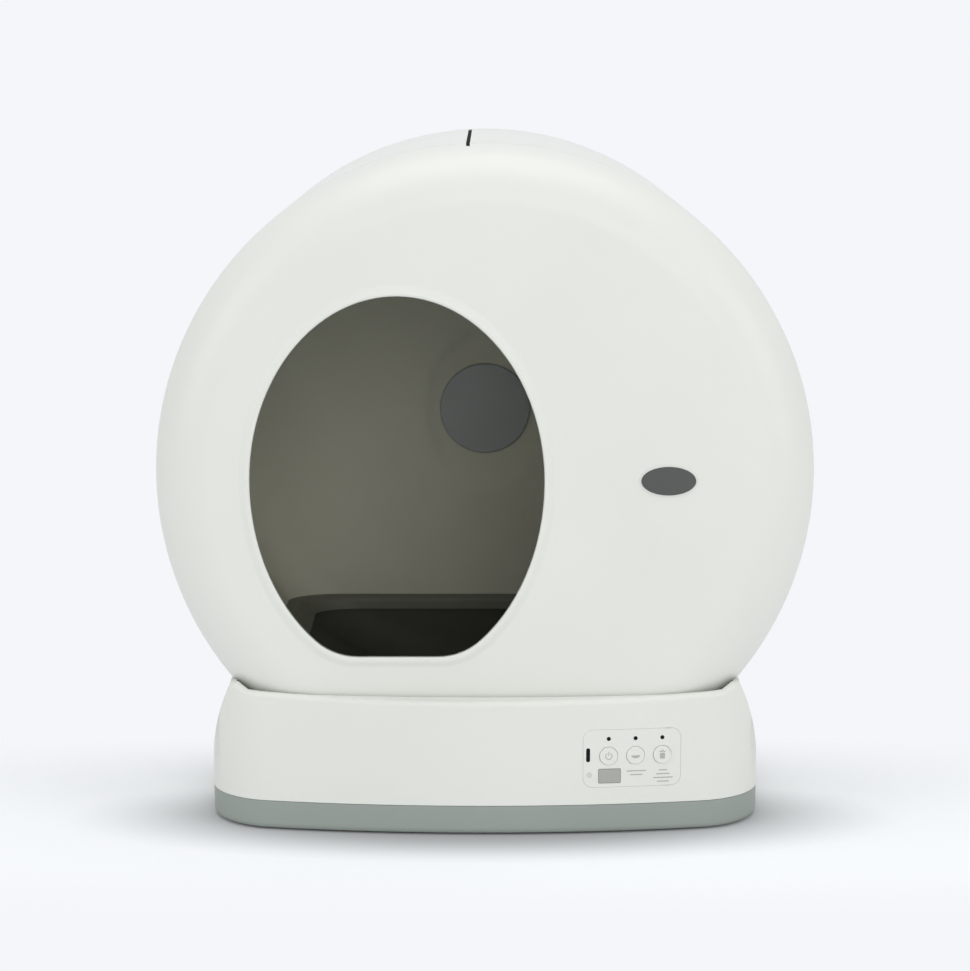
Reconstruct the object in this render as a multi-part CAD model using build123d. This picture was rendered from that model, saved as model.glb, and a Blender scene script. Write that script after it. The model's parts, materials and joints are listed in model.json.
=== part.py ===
from build123d import *
import math
import os

# Self cleaning litter box: a drum that turns in a low base. Millimetres, +Z up, front at -Y.
# The origin is at the bottom centre of the whole object. The drum's axis runs front to back.

# Overall form
DRUM_R = 265.0
DRUM_LIFT = 18.0
OVERALL_DEPTH = 536.0
FACE_SETBACK = 18.0
TOWER_DEPTH = 63.0
FRONT_ROUND = 48.0
REAR_ROUND = 45.0
SHELL_WALL = 3.5
OVERRUN = 5.0

# Fits
FIT = 0.3
SHAFT_FIT = 0.05
SEAM = 0.4

# Opening in the drum's face
OPENING_MARGIN = 31.0
OPENING_HALF_WIDTH = 116.5
OPENING_TOP_HEIGHT = 147.0
OPENING_LOW_HEIGHT = 154.8
OPENING_FLAT_DROP = 141.0
OPENING_CORNER = 50.0
BEAD_WIDTH = 6.4
BEAD_HEIGHT = 2.0
BEAD_OUTER_ROUND = 1.8
BEAD_INNER_ROUND = 1.4

# Seam between the front shell and the body shell
TONGUE_LENGTH = 9.0
TONGUE_ROOT = 13.0

# Liner, its oval dish and the hub cap
LINER_WALL = 2.5
LINER_BACK_SPACE = 9.5
LINER_ROUND = 35.0
DISH_DEPTH = 6.5
DISH_HALF_WIDTH = 62.0
DISH_HALF_HEIGHT = 82.0
DISH_SLOPE = 17.0
HUB_CAP_R = 43.0
HUB_CAP_THICK = 3.0
HUB_CAP_EDGE = 1.2

# Litter tray
TRAY_WALL = 3.0
TRAY_RIM_DROP = 179.0
TRAY_LIP_HEIGHT = 13.0
TRAY_LIP_WALL = 8.0
TRAY_LIP_ROUND = 6.5

# Sieve partition
SIEVE_SETBACK = 31.0
SIEVE_WALL = 4.0
SIEVE_SLOT = 9.0
SIEVE_BAR = 5.0
SIEVE_ROWS = 3
SIEVE_FOOT_MARGIN = 15.4
SIEVE_ROW_BAR = 9.0
SIEVE_TOP_DROP = 26.0
SIEVE_SIDE_MARGIN = 34.0
MOUTH_RISE = 60.0
MOUTH_TOP_MARGIN = 67.4
MOUTH_MARGIN = 60.0
MOUTH_CORNER = 14.0

# Lift-out bin, its cover and the window that it leaves through
SLOT_X = 15.0
SLOT_GAP = 3.2
WINDOW_SIDE_INSET = 35.5
WINDOW_REAR_MARGIN = 12.0
WINDOW_LEDGE = 8.0
BIN_WALL = 2.5
BIN_SIDE_GAP = 2.5
BIN_DROP = 8.0
BIN_LIP_HEIGHT = 56.0
BIN_MOUTH_MARGIN = 10.0
SHELF_WALL = 3.0
BIN_MAGNET_R = 7.0
BIN_MAGNET_THICK = 2.0
KEEPER_THICK = 1.5

# Ring gear, pinion and axle
GEAR_MODULE = 3.0
RING_TEETH = 60
PINION_TEETH = 12
GEAR_WIDTH = 11.0
GEAR_SETBACK = 10.0
GEAR_BACKLASH = 0.4
PRESSURE_ANGLE = 20.0
PROFILE_SHIFT = 0.4
TOOTH_ADDENDUM = 1.0
TOOTH_DEDENDUM = 1.3
FLANK_SHARES = (0, 0.4, 1)
GEAR_WEB = 4.0
GEAR_RIM = 8.0
GEAR_HUB_R = 22.0
GEAR_SCREW_CIRCLE = 60.0
GEAR_SCREWS = 6
SCREW_R = 2.0
SCREW_HEAD_R = 4.0
SCREW_HEAD = 2.4
AXLE_R = 8.0
AXLE_HEAD_R = 18.0
AXLE_HEAD = 2.0
AXLE_TAIL = 6.0
CLIP_THICK = 1.2
CLIP_R = 12.0
BEARING_R = 13.0
BEARING_LENGTH = 12.0
BEARING_FLANGE_R = 17.0
BEARING_FLANGE = 2.0

# Base housing and base bottom
BASE_SIDE_INSET = 42.0
BASE_BEND_HEIGHT = 35.0
BASE_SIDE_BEND = 196.0
SIDE_SPARE = 0.2
BASE_TIP_HEIGHT = 118.5
DECK_HEIGHT = 109.5
DECK_END_RISE = 4.0
RIM_ROUND = 4.5
SIDE_TOP_HEIGHT = 112.0
TIP_INSET = 25.0
TIP_RAMP = 8.0
BAND_HEIGHT = 24.0
BAND_CLEAR = 1.0
BAND_ROUND = 5.0
FRONT_BOW = 950.0
FRONT_CORNER = 60.0
REAR_CORNER = 40.0
HOUSING_WALL = 3.0
CRADLE_GAP = 2.0
CRADLE_WALL = 2.5
DECK_NOTCH_INSET = 23.0
DECK_NOTCH_GAP = 2.5
DECK_NOTCH_FLOOR = 88.0
RIM_WIDTH = 5.0
WELL_WIDTH = 42.0
WELL_FLOOR = 60.0
TOWER_HALF_WIDTH = 110.0
TOWER_GAP = 4.0
TOWER_HOLE_GAP = 4.0
COVER_FRONT = 28.0
COVER_FOOT = 30.0
COVER_EDGE = 9.0

# Drive frame and drive
FRAME_WALL = 3.0
FRAME_HALF_WIDTH = 62.0
FRAME_RISE = 34.0
FRAME_FOOT = 18.0
FRAME_SETBACK = 25.0
GEARBOX_WIDTH = 44.0
GEARBOX_GAP = 6.0
GEARBOX_RISE = 18.0
GEARBOX_DROP = 36.0
GEARBOX_EDGE = 3.0
OUTPUT_R = 4.0
OUTPUT_INSERT = 12.0
MOTOR_INSET = 0.6
MOTOR_LENGTH = 56.0
MOTOR_BOSS_R = 6.0
MOTOR_BOSS = 3.0

# Cradle rollers
ROLLER_R = 20.0
ROLLER_WIDTH = 18.0
ROLLER_ANGLE = 38.0
ROLLER_GAP = 0.3
ROLLER_PIN_R = 3.0
ROLLER_HUB_R = 9.0
ROLLER_RECESS = 2.5
ROLLER_EDGE = 2.0
FRONT_ROLLER_Y = 52.0
REAR_ROLLER_Y = 60.0
BRACKET_WALL = 3.0
BRACKET_EAR_R = 8.5
BRACKET_SIDE_GAP = 0.5
BRACKET_FOOT = 12.0
ROLLER_WINDOW_GAP = 2.5
ROLLER_WINDOW_RISE = 15.0

# Control panel
PANEL_SIDE_INSET = 105.5
PANEL_HEIGHT = 62.0
PANEL_WIDTH = 79.0
PANEL_TALL = 47.0
PANEL_CORNER = 8.0
PANEL_SINK = 0.1
PANEL_SEAM = 0.15
PANEL_THICK = 2.6
BUTTON_R = 7.2
BUTTON_PITCH = 21.7
BUTTON_RISE = 2.0
BUTTON_SHIFT = 2.7
BUTTON_PROUD = 0.6
BUTTON_TRAVEL = 0.6
BUTTON_FLANGE = 1.0
BUTTON_FLANGE_LIP = 1.3
BUTTON_STEM_R = 1.5
SWITCH_SIZE = 6.0
SWITCH_HEIGHT = 1.3
BOARD_WALL = 1.2
BOARD_DEPTH = 7.0
LIGHT_R = 1.65
LIGHT_RISE = 16.0
LIGHT_BAR = 1.6
LIGHT_BAR_DROP = 4.6
SLOT_WINDOW_SHIFT = 35.5
SLOT_WINDOW_RISE = 3.0
SLOT_WINDOW_WIDTH = 3.1
SLOT_WINDOW_TALL = 11.4

# Small parts inside the base
FOOT_R = 19.0
FOOT_STEM_R = 5.0
FOOT_SIDE_INSET = 45.0
FOOT_FRONT_INSET = 72.0
FOOT_REAR_INSET = 46.0
FOOT_EDGE = 0.6
FOOT_RECESS = 1.5
SENSOR_SIZE = 34.0
SENSOR_THICK = 3.0
SENSOR_PAD = 2.5
MAIN_BOARD_TALL = 84.0
MAIN_BOARD_WIDTH = 32.0
MAIN_BOARD_X = 42.0
MAIN_BOARD_Z = 105.0
MAIN_BOARD_WALL = 1.6
CAPACITOR_R = 5.0
CAPACITOR_TALL = 12.0
CONNECTOR_TALL = 7.0
STANDOFF_R = 3.0
STANDOFF = 6.0
STANDOFF_INSET = 4.0
INLET_TOWER_GAP = 40.0
INLET_HEIGHT = 46.0
INLET_R = 6.0
INLET_BORE_R = 2.8
INLET_DEPTH = 14.0
INLET_NUT_R = 9.0
INLET_NUT = 2.5
INLET_PIN_R = 1.0
POST_R = 5.0
POST_TO_ROLLER = 56.0
POST_Y = 120.0
POST_HEAD = 4.0
POST_TIP_GAP = 5.0
MAGNET_R = 4.0
MAGNET_THICK = 2.5
MAGNET_ARM = 103.0
HALL_TALL = 14.0
HALL_THICK = 3.0
HALL_OVERLAP = 1.0
PILLAR_R = 4.5
PILLAR_X = 47.0
PILLAR_LOW = 48.0
PILLAR_TOP_X = 22.0
PILLAR_TOP_RISE = 18.0
PANEL_POST_R = 2.0
PANEL_POST_INSET = 5.0
PANEL_BOARD_TOP = 13.5
PANEL_BOARD_DROP = 20.0
LED_SIZE = 2.4
LED_TALL = 1.8
PRESENCE_WIDTH = 6.0
PRESENCE_TALL = 13.0
PRESENCE_THICK = 2.4

# Places worked out from the values above
AXIS_HEIGHT = DRUM_R + DRUM_LIFT
FRONT_Y = -OVERALL_DEPTH / 2
REAR_Y = OVERALL_DEPTH / 2
FACE_Y = FRONT_Y + FACE_SETBACK
DRUM_REAR_Y = REAR_Y - TOWER_DEPTH
SEAM_Y = FACE_Y + FRONT_ROUND
LINER_BACK_Y = DRUM_REAR_Y - SHELL_WALL - LINER_BACK_SPACE
LINER_OUTER_R = DRUM_R - SHELL_WALL - FIT
LINER_INNER_R = LINER_OUTER_R - LINER_WALL
DISH_BACK_Y = LINER_BACK_Y + DISH_DEPTH
OPENING_SHIFT = DRUM_R - FRONT_ROUND - OPENING_MARGIN - OPENING_HALF_WIDTH
SIEVE_X = OPENING_HALF_WIDTH - OPENING_SHIFT + SIEVE_SETBACK
SIEVE_HALF_HEIGHT = math.sqrt(LINER_INNER_R**2 - (SIEVE_X + SIEVE_WALL) ** 2)
MOUTH_TOP = SIEVE_HALF_HEIGHT - MOUTH_TOP_MARGIN
WINDOW_RIGHT = DRUM_R - WINDOW_SIDE_INSET
TOWER_FRONT_Y = DRUM_REAR_Y + TOWER_GAP
GEAR_FRONT_Y = DRUM_REAR_Y + GEAR_SETBACK
GEAR_REAR_Y = GEAR_FRONT_Y + GEAR_WIDTH
FRAME_Y = DRUM_REAR_Y + FRAME_SETBACK
RING_PITCH_R = GEAR_MODULE * RING_TEETH / 2
PINION_PITCH_R = GEAR_MODULE * PINION_TEETH / 2
PINION_DROP = RING_PITCH_R + PINION_PITCH_R
PINION_Z = AXIS_HEIGHT - PINION_DROP
FLOOR_Z = BAND_CLEAR + HOUSING_WALL
BASE_HALF_WIDTH = DRUM_R - BASE_SIDE_INSET
DECK_NOTCH_HALF_WIDTH = BASE_HALF_WIDTH - DECK_NOTCH_INSET
PANEL_X = BASE_HALF_WIDTH - PANEL_SIDE_INSET
INLET_X = TOWER_HALF_WIDTH + INLET_TOWER_GAP
GEARBOX_DEPTH = REAR_Y - HOUSING_WALL - GEARBOX_GAP - FRAME_Y - FRAME_WALL
MOTOR_R = GEARBOX_DEPTH / 2 - MOTOR_INSET
HOUSING_FOOT_Z = BAND_HEIGHT + SEAM
ROLLER_ARM = DRUM_R + ROLLER_GAP + ROLLER_R
ROLLER_X = ROLLER_ARM * math.sin(math.radians(ROLLER_ANGLE))
ROLLER_Z = AXIS_HEIGHT - ROLLER_ARM * math.cos(math.radians(ROLLER_ANGLE))
POST_X = ROLLER_X - POST_TO_ROLLER
POST_TOP_Z = AXIS_HEIGHT - math.sqrt((DRUM_R + CRADLE_GAP + CRADLE_WALL) ** 2 - POST_X**2)
POST_TIP_Z = POST_TOP_Z - POST_TIP_GAP
WINDOW_FRONT_Y = SEAM_Y
WINDOW_REAR_Y = DRUM_REAR_Y - REAR_ROUND - WINDOW_REAR_MARGIN
BIG = DRUM_R * 2 + OVERALL_DEPTH


def save(node, name):
    """Write one node, named like its file."""
    os.makedirs("parts", exist_ok=True)
    node.label = name
    export_step(node, os.path.join("parts", name + ".step"))


def box_between(low, high):
    """A box from its lowest to its highest corner."""
    size = [b - a for a, b in zip(low, high)]
    middle = [(a + b) / 2 for a, b in zip(low, high)]
    return Pos(*middle) * Box(*size)


def along_y(x, z, front, rear, radius):
    """A round bar along Y between two planes."""
    bar = Cylinder(radius, rear - front)
    return Pos(x, (front + rear) / 2, z) * Rot(90, 0, 0) * bar


def upright(x, y, low, high, radius):
    """A round bar along Z between two heights."""
    return Pos(x, y, (low + high) / 2) * Cylinder(radius, high - low)


def prism_y(face, front, rear):
    """Push a face drawn in X and Z along Y between two planes."""
    standing = Pos(0, rear, 0) * Rot(90, 0, 0) * face
    return extrude(standing, rear - front, dir=(0, -1, 0))


def on_axis(shape):
    """Lift a shape that was drawn about Y to the drum's axis."""
    return Pos(0, 0, AXIS_HEIGHT) * shape


def one_solid(shape):
    """The largest solid of a shape."""
    return shape.solids().sort_by(SortBy.VOLUME)[-1]


# Drum

def drum_form(radius, front, rear, front_round, rear_round):
    """Solid of revolution about Y with rounded front and rear edges."""
    section = Pos(radius / 2, (front + rear) / 2) * Rectangle(radius, rear - front)
    if front_round:
        corner = section.vertices().sort_by(lambda v: v.X - v.Y)[-1]
        section = fillet(corner, front_round)
    if rear_round:
        corner = section.vertices().sort_by(lambda v: v.X + v.Y)[-1]
        section = fillet(corner, rear_round)
    return revolve(section, Axis.Y, 360)


def drum_inset(inset):
    """The drum's outer form moved inwards by inset."""
    rear = DRUM_REAR_Y - inset
    return drum_form(DRUM_R - inset, FACE_Y + inset, rear, FRONT_ROUND - inset, REAR_ROUND - inset)


def opening_face(grow):
    """Outline of the opening in X and Z about the drum's axis: two half ellipses with a flat bottom."""
    half_width = OPENING_HALF_WIDTH + grow
    top = OPENING_TOP_HEIGHT + grow
    drop = OPENING_FLAT_DROP + grow
    upper = Ellipse(half_width, top) & Pos(0, top / 2) * Rectangle(half_width * 2, top)
    keep = Pos(0, -drop / 2) * Rectangle(half_width * 2, drop)
    lower = Ellipse(half_width, OPENING_LOW_HEIGHT + grow) & keep
    lower = fillet(lower.vertices().group_by(Axis.Y)[0], OPENING_CORNER)
    return Pos(-OPENING_SHIFT, 0) * (upper + lower)


def drum_shell():
    """Whole outer skin of the drum before it is parted."""
    return drum_inset(0) - drum_inset(SHELL_WALL)


def drum_front_shell():
    skin = drum_shell() & box_between((-BIG, -BIG, -BIG), (BIG, SEAM_Y, BIG))
    tongue = along_y(0, 0, SEAM_Y - TONGUE_ROOT, SEAM_Y + TONGUE_LENGTH, LINER_OUTER_R)
    tongue -= along_y(0, 0, SEAM_Y - TONGUE_ROOT - OVERRUN, SEAM_Y + TONGUE_LENGTH + OVERRUN, LINER_INNER_R)
    bead = prism_y(opening_face(BEAD_WIDTH), FACE_Y - BEAD_HEIGHT, FACE_Y + SHELL_WALL / 2)
    outer_edge = bead.edges().group_by(Axis.Y)[0]
    bead = fillet(outer_edge, BEAD_OUTER_ROUND)
    shell = skin + tongue + bead
    shell -= prism_y(opening_face(0), FACE_Y - BEAD_HEIGHT - OVERRUN, FACE_Y + SHELL_WALL + OVERRUN)
    inner_edge = shell.edges().group_by(Axis.Y)[0]
    shell = fillet(inner_edge, BEAD_INNER_ROUND)
    return on_axis(shell)


def window_box(inset, low, high):
    """Upright box that the bin and its cover pass through, about the drum's axis."""
    low_corner = (-SLOT_X + inset, WINDOW_FRONT_Y + inset, low)
    high_corner = (WINDOW_RIGHT - inset, WINDOW_REAR_Y - inset, high)
    return box_between(low_corner, high_corner)


def screw_places(circle, count, turn):
    """Places round a circle in X and Z."""
    angles = [math.radians(turn + 360 * i / count) for i in range(count)]
    return [(circle * math.sin(a), circle * math.cos(a)) for a in angles]


def drum_body_shell():
    skin = drum_shell() & box_between((-BIG, SEAM_Y + SEAM, -BIG), (BIG, BIG, BIG))
    skin -= window_box(0, 0, BIG)
    skin -= along_y(0, 0, DRUM_REAR_Y - SHELL_WALL - OVERRUN, DRUM_REAR_Y + OVERRUN, AXLE_R + SHAFT_FIT)
    for x, z in screw_places(GEAR_SCREW_CIRCLE, GEAR_SCREWS, 0):
        skin -= along_y(x, z, DRUM_REAR_Y - SHELL_WALL - OVERRUN, DRUM_REAR_Y + OVERRUN, SCREW_R + SHAFT_FIT)
    return on_axis(skin)


def liner_form(radius, front, rear, rear_round):
    """Open-fronted inner form with a rounded rear edge."""
    return drum_form(radius, front, rear, 0, rear_round)


def dish(grow, front, rear):
    """Tapered oval pocket round the hub."""
    wide = Plane(origin=(0, front, 0), x_dir=(1, 0, 0), z_dir=(0, 1, 0))
    deep = Plane(origin=(0, rear, 0), x_dir=(1, 0, 0), z_dir=(0, 1, 0))
    mouth = wide * Ellipse(DISH_HALF_WIDTH + grow, DISH_HALF_HEIGHT + grow)
    floor = deep * Ellipse(DISH_HALF_WIDTH + grow - DISH_SLOPE, DISH_HALF_HEIGHT + grow - DISH_SLOPE)
    return loft([mouth.faces()[0], floor.faces()[0]], ruled=True)


def drum_liner():
    front = SEAM_Y + TONGUE_LENGTH + FIT
    outer = liner_form(LINER_OUTER_R, front, LINER_BACK_Y + LINER_WALL, LINER_ROUND + LINER_WALL)
    inner = liner_form(LINER_INNER_R, front - OVERRUN, LINER_BACK_Y, LINER_ROUND)
    liner = outer + dish(LINER_WALL, LINER_BACK_Y, DISH_BACK_Y + LINER_WALL) - inner
    liner -= dish(0, LINER_BACK_Y, DISH_BACK_Y)
    liner -= window_box(WINDOW_LEDGE, 0, BIG)
    liner -= along_y(0, 0, LINER_BACK_Y, DRUM_REAR_Y, AXLE_HEAD_R + OVERRUN)
    return on_axis(liner)


def inside_form(inset, rear_gap):
    """The space inside the liner, drawn in by inset."""
    radius = LINER_INNER_R - inset
    front = FACE_Y + DRUM_R - radius
    front_round = FRONT_ROUND - (DRUM_R - radius)
    rear_round = LINER_ROUND - rear_gap
    return drum_form(radius, front, LINER_BACK_Y - rear_gap, front_round, rear_round)


def litter_tray():
    right = SIEVE_X - FIT
    body = inside_form(FIT, FIT)
    hollow = inside_form(FIT + TRAY_WALL, FIT + TRAY_WALL)
    low = box_between((-BIG, -BIG, -BIG), (right, BIG, -TRAY_RIM_DROP))
    end_wall = box_between((right - TRAY_WALL, -BIG, -BIG), (right, BIG, -TRAY_RIM_DROP))
    lip_low = -TRAY_RIM_DROP - TRAY_LIP_HEIGHT
    core = inside_form(FIT + TRAY_LIP_WALL, FIT + TRAY_LIP_WALL)
    lip = (body - core) & box_between((-BIG, -BIG, lip_low), (right, BIG, -TRAY_RIM_DROP))
    rim = [e for e in lip.edges().group_by(Axis.Z)[-1] if e.length > TRAY_LIP_WALL + FIT]
    lip = fillet([e for e in rim if core.distance_to(e.center()) < FIT], TRAY_LIP_ROUND)
    tray = ((body - hollow) & low) + (body & end_wall) + lip
    return on_axis(tray)


def sieve_panel():
    panel = inside_form(FIT, FIT) & box_between((SIEVE_X, -BIG, -BIG), (SIEVE_X + SIEVE_WALL, BIG, BIG))
    space = inside_form(FIT, FIT).bounding_box()
    first = space.min.Y + SIEVE_SIDE_MARGIN
    last = space.max.Y - SIEVE_SIDE_MARGIN
    pitch = SIEVE_SLOT + SIEVE_BAR
    count = int((last - first + SIEVE_BAR) / pitch)
    start = (first + last - (count - 1) * pitch) / 2
    slotted = SIEVE_HALF_HEIGHT - SIEVE_TOP_DROP - SIEVE_FOOT_MARGIN
    length = (slotted - (SIEVE_ROWS - 1) * SIEVE_ROW_BAR) / SIEVE_ROWS
    for row in range(SIEVE_ROWS):
        top = -SIEVE_TOP_DROP - row * (length + SIEVE_ROW_BAR)
        for column in range(count):
            y = start + column * pitch
            low = (SIEVE_X - OVERRUN, y - SIEVE_SLOT / 2, top - length)
            high = (SIEVE_X + SIEVE_WALL + OVERRUN, y + SIEVE_SLOT / 2, top)
            panel -= box_between(low, high)
    tall = MOUTH_TOP - MOUTH_RISE
    wide = last - first - MOUTH_MARGIN
    mouth = Plane(origin=(SIEVE_X - OVERRUN, 0, 0), x_dir=(0, 1, 0), z_dir=(1, 0, 0))
    mouth *= Pos((first + last) / 2, MOUTH_RISE + tall / 2)
    mouth *= RectangleRounded(wide, tall, MOUTH_CORNER)
    panel -= extrude(mouth, SIEVE_WALL + OVERRUN * 2, dir=(1, 0, 0))
    return on_axis(panel)


def bin_shelf():
    low_z = -BIN_DROP - FIT - SHELF_WALL
    left = SIEVE_X + SIEVE_WALL + FIT
    shelf = inside_form(FIT, FIT) & box_between((left, -BIG, low_z), (BIG, BIG, low_z + SHELF_WALL))
    return on_axis(shelf)


def hub_cap():
    cap = along_y(0, 0, DISH_BACK_Y - FIT - HUB_CAP_THICK, DISH_BACK_Y - FIT, HUB_CAP_R)
    cap = chamfer(cap.edges().group_by(Axis.Y)[0], HUB_CAP_EDGE)
    return on_axis(cap)


def drum_axle():
    head_front = DRUM_REAR_Y - SHELL_WALL - AXLE_HEAD
    axle = along_y(0, 0, head_front, DRUM_REAR_Y - SHELL_WALL, AXLE_HEAD_R)
    axle += along_y(0, 0, head_front, FRAME_Y - BEARING_FLANGE + BEARING_LENGTH + AXLE_TAIL, AXLE_R)
    return on_axis(axle)


def axle_clip():
    front = FRAME_Y - BEARING_FLANGE + BEARING_LENGTH + FIT
    clip = along_y(0, 0, front, front + CLIP_THICK, CLIP_R)
    clip -= along_y(0, 0, front - OVERRUN, front + CLIP_THICK + OVERRUN, AXLE_R + SHAFT_FIT)
    half = AXLE_R / 2
    gap = box_between((-half, front - OVERRUN, 0), (half, front + CLIP_THICK + OVERRUN, CLIP_R * 2))
    return on_axis(clip - gap)


# Gears

def involute(angle):
    """The involute function of a pressure angle."""
    return math.tan(angle) - angle


def gear_face(teeth, shift, bore_r, turn):
    """Involute spur gear outline in X and Z with a round bore. A tooth points at the angle turn from +Z."""
    pressure = math.radians(PRESSURE_ANGLE)
    pitch_r = GEAR_MODULE * teeth / 2
    base_r = pitch_r * math.cos(pressure)
    root_r = pitch_r - GEAR_MODULE * (TOOTH_DEDENDUM - shift)
    tip_r = pitch_r + GEAR_MODULE * (TOOTH_ADDENDUM + shift)
    thick = GEAR_MODULE * (math.pi / 2 + 2 * shift * math.tan(pressure)) - GEAR_BACKLASH / 2
    start_r = max(root_r, base_r)
    radii = [start_r + share * (tip_r - start_r) for share in FLANK_SHARES]
    flank = []
    for radius in radii:
        roll = math.acos(min(1, base_r / radius))
        flank.append((radius, thick / 2 / pitch_r + involute(pressure) - involute(roll)))
    if root_r < base_r:
        flank.insert(0, (root_r, flank[0][1]))
    points = []
    for i in range(teeth):
        middle = math.radians(turn) + i * 2 * math.pi / teeth
        sides = [(radius, middle - half) for radius, half in flank]
        sides += [(radius, middle + half) for radius, half in reversed(flank)]
        points += [(radius * math.sin(angle), radius * math.cos(angle)) for radius, angle in sides]
    outline = make_face(Polyline(*points, close=True))
    return outline - Circle(bore_r)


def ring_gear():
    rim_r = RING_PITCH_R - GEAR_MODULE * (TOOTH_DEDENDUM + PROFILE_SHIFT) - GEAR_RIM
    outline = gear_face(RING_TEETH, -PROFILE_SHIFT, rim_r, 180)
    teeth = prism_y(outline, GEAR_FRONT_Y, GEAR_REAR_Y)
    front = DRUM_REAR_Y
    web = along_y(0, 0, front, front + GEAR_WEB, rim_r + GEAR_RIM / 2)
    neck = along_y(0, 0, front, GEAR_REAR_Y, rim_r + GEAR_RIM / 2)
    neck -= along_y(0, 0, front - OVERRUN, GEAR_REAR_Y + OVERRUN, rim_r)
    hub = along_y(0, 0, front, FRAME_Y - BEARING_FLANGE - FIT, GEAR_HUB_R)
    gear = teeth + neck + web + hub
    gear -= along_y(0, 0, front - OVERRUN, FRAME_Y, AXLE_R + SHAFT_FIT)
    for x, z in screw_places(GEAR_SCREW_CIRCLE, GEAR_SCREWS, 0):
        gear -= along_y(x, z, front - OVERRUN, front + GEAR_WEB + OVERRUN, SCREW_R + SHAFT_FIT)
    for x, z in screw_places(GEAR_SCREW_CIRCLE, GEAR_SCREWS, 180 / GEAR_SCREWS):
        gear -= along_y(x, z, front - OVERRUN, front + GEAR_WEB + OVERRUN, GEAR_RIM)
    return on_axis(gear)


def ring_gear_screws():
    head_front = DRUM_REAR_Y + GEAR_WEB
    solids = []
    for x, z in screw_places(GEAR_SCREW_CIRCLE, GEAR_SCREWS, 0):
        screw = along_y(x, z, head_front, head_front + SCREW_HEAD, SCREW_HEAD_R)
        screw += along_y(x, z, DRUM_REAR_Y - SHELL_WALL, head_front, SCREW_R)
        solids.append(on_axis(screw))
    return Compound(children=solids)


def drive_pinion():
    outline = gear_face(PINION_TEETH, PROFILE_SHIFT, OUTPUT_R + SHAFT_FIT, 180 / PINION_TEETH)
    return Pos(0, 0, PINION_Z) * prism_y(outline, GEAR_FRONT_Y, GEAR_REAR_Y)


def output_shaft():
    rear = FRAME_Y + FRAME_WALL + OUTPUT_INSERT
    return along_y(0, PINION_Z, GEAR_FRONT_Y - FIT, rear, OUTPUT_R)


# Lift-out bin

def bin_cover():
    front = WINDOW_FRONT_Y + SEAM
    rear = WINDOW_REAR_Y - SEAM
    plan = box_between((-SLOT_X + SLOT_GAP, front, 0), (WINDOW_RIGHT - SEAM, rear, BIG))
    skin = along_y(0, 0, front, rear, DRUM_R)
    skin -= along_y(0, 0, front - OVERRUN, rear + OVERRUN, DRUM_R - SHELL_WALL)
    return on_axis(skin & plan)


def waste_bin():
    left = SIEVE_X + SIEVE_WALL + BIN_SIDE_GAP
    right = WINDOW_RIGHT - WINDOW_LEDGE - BIN_SIDE_GAP
    front = WINDOW_FRONT_Y + WINDOW_LEDGE + TONGUE_LENGTH
    rear = WINDOW_REAR_Y - WINDOW_LEDGE - BIN_SIDE_GAP
    top_r = LINER_OUTER_R
    body = box_between((left, front, -BIN_DROP), (right, rear, BIG))
    body &= along_y(0, 0, front - OVERRUN, rear + OVERRUN, top_r)
    hollow = box_between(
        (left + BIN_WALL, front + BIN_WALL, -BIN_DROP + BIN_WALL), (right - BIN_WALL, rear - BIN_WALL, BIG)
    )
    mouth = box_between(
        (left - OVERRUN, front + BIN_MOUTH_MARGIN, -BIN_DROP + BIN_LIP_HEIGHT),
        (left + BIN_WALL + OVERRUN, rear - BIN_MOUTH_MARGIN, MOUTH_TOP),
    )
    return on_axis(body - hollow - mouth)


def bin_magnet_places():
    """Places in X and Y of the magnets that hold the bin down."""
    inset = BIN_WALL + BIN_MAGNET_R + BIN_SIDE_GAP
    x = WINDOW_RIGHT - WINDOW_LEDGE - BIN_SIDE_GAP - inset
    front = WINDOW_FRONT_Y + WINDOW_LEDGE + TONGUE_LENGTH + inset
    return [(x, front), (x, WINDOW_REAR_Y - WINDOW_LEDGE - BIN_SIDE_GAP - inset)]


def bin_magnets():
    low = AXIS_HEIGHT - BIN_DROP + BIN_WALL
    high = low + BIN_MAGNET_THICK
    return Compound(children=[upright(x, y, low, high, BIN_MAGNET_R) for x, y in bin_magnet_places()])


def keeper_plates():
    top = AXIS_HEIGHT - BIN_DROP - FIT - SHELF_WALL
    low = top - KEEPER_THICK
    return Compound(children=[upright(x, y, low, top, BIN_MAGNET_R) for x, y in bin_magnet_places()])


# Base

def base_plan(inset):
    """Outline of the base from above: bowed front, round corners."""
    half = BASE_HALF_WIDTH - inset
    front = FRONT_Y + inset
    rear = REAR_Y - inset
    bow = FRONT_BOW - inset
    edge = front + bow - math.sqrt(bow**2 - half**2)
    outline = ThreePointArc((-half, edge), (0, front), (half, edge)) + Polyline(
        (half, edge), (half, rear), (-half, rear), (-half, edge)
    )
    plan = make_face(outline)
    plan = fillet(plan.vertices().group_by(Axis.Y)[-1], REAR_CORNER - inset)
    front_corners = [v for v in plan.vertices() if v.Y < 0]
    return fillet(front_corners, FRONT_CORNER - inset)


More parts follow.
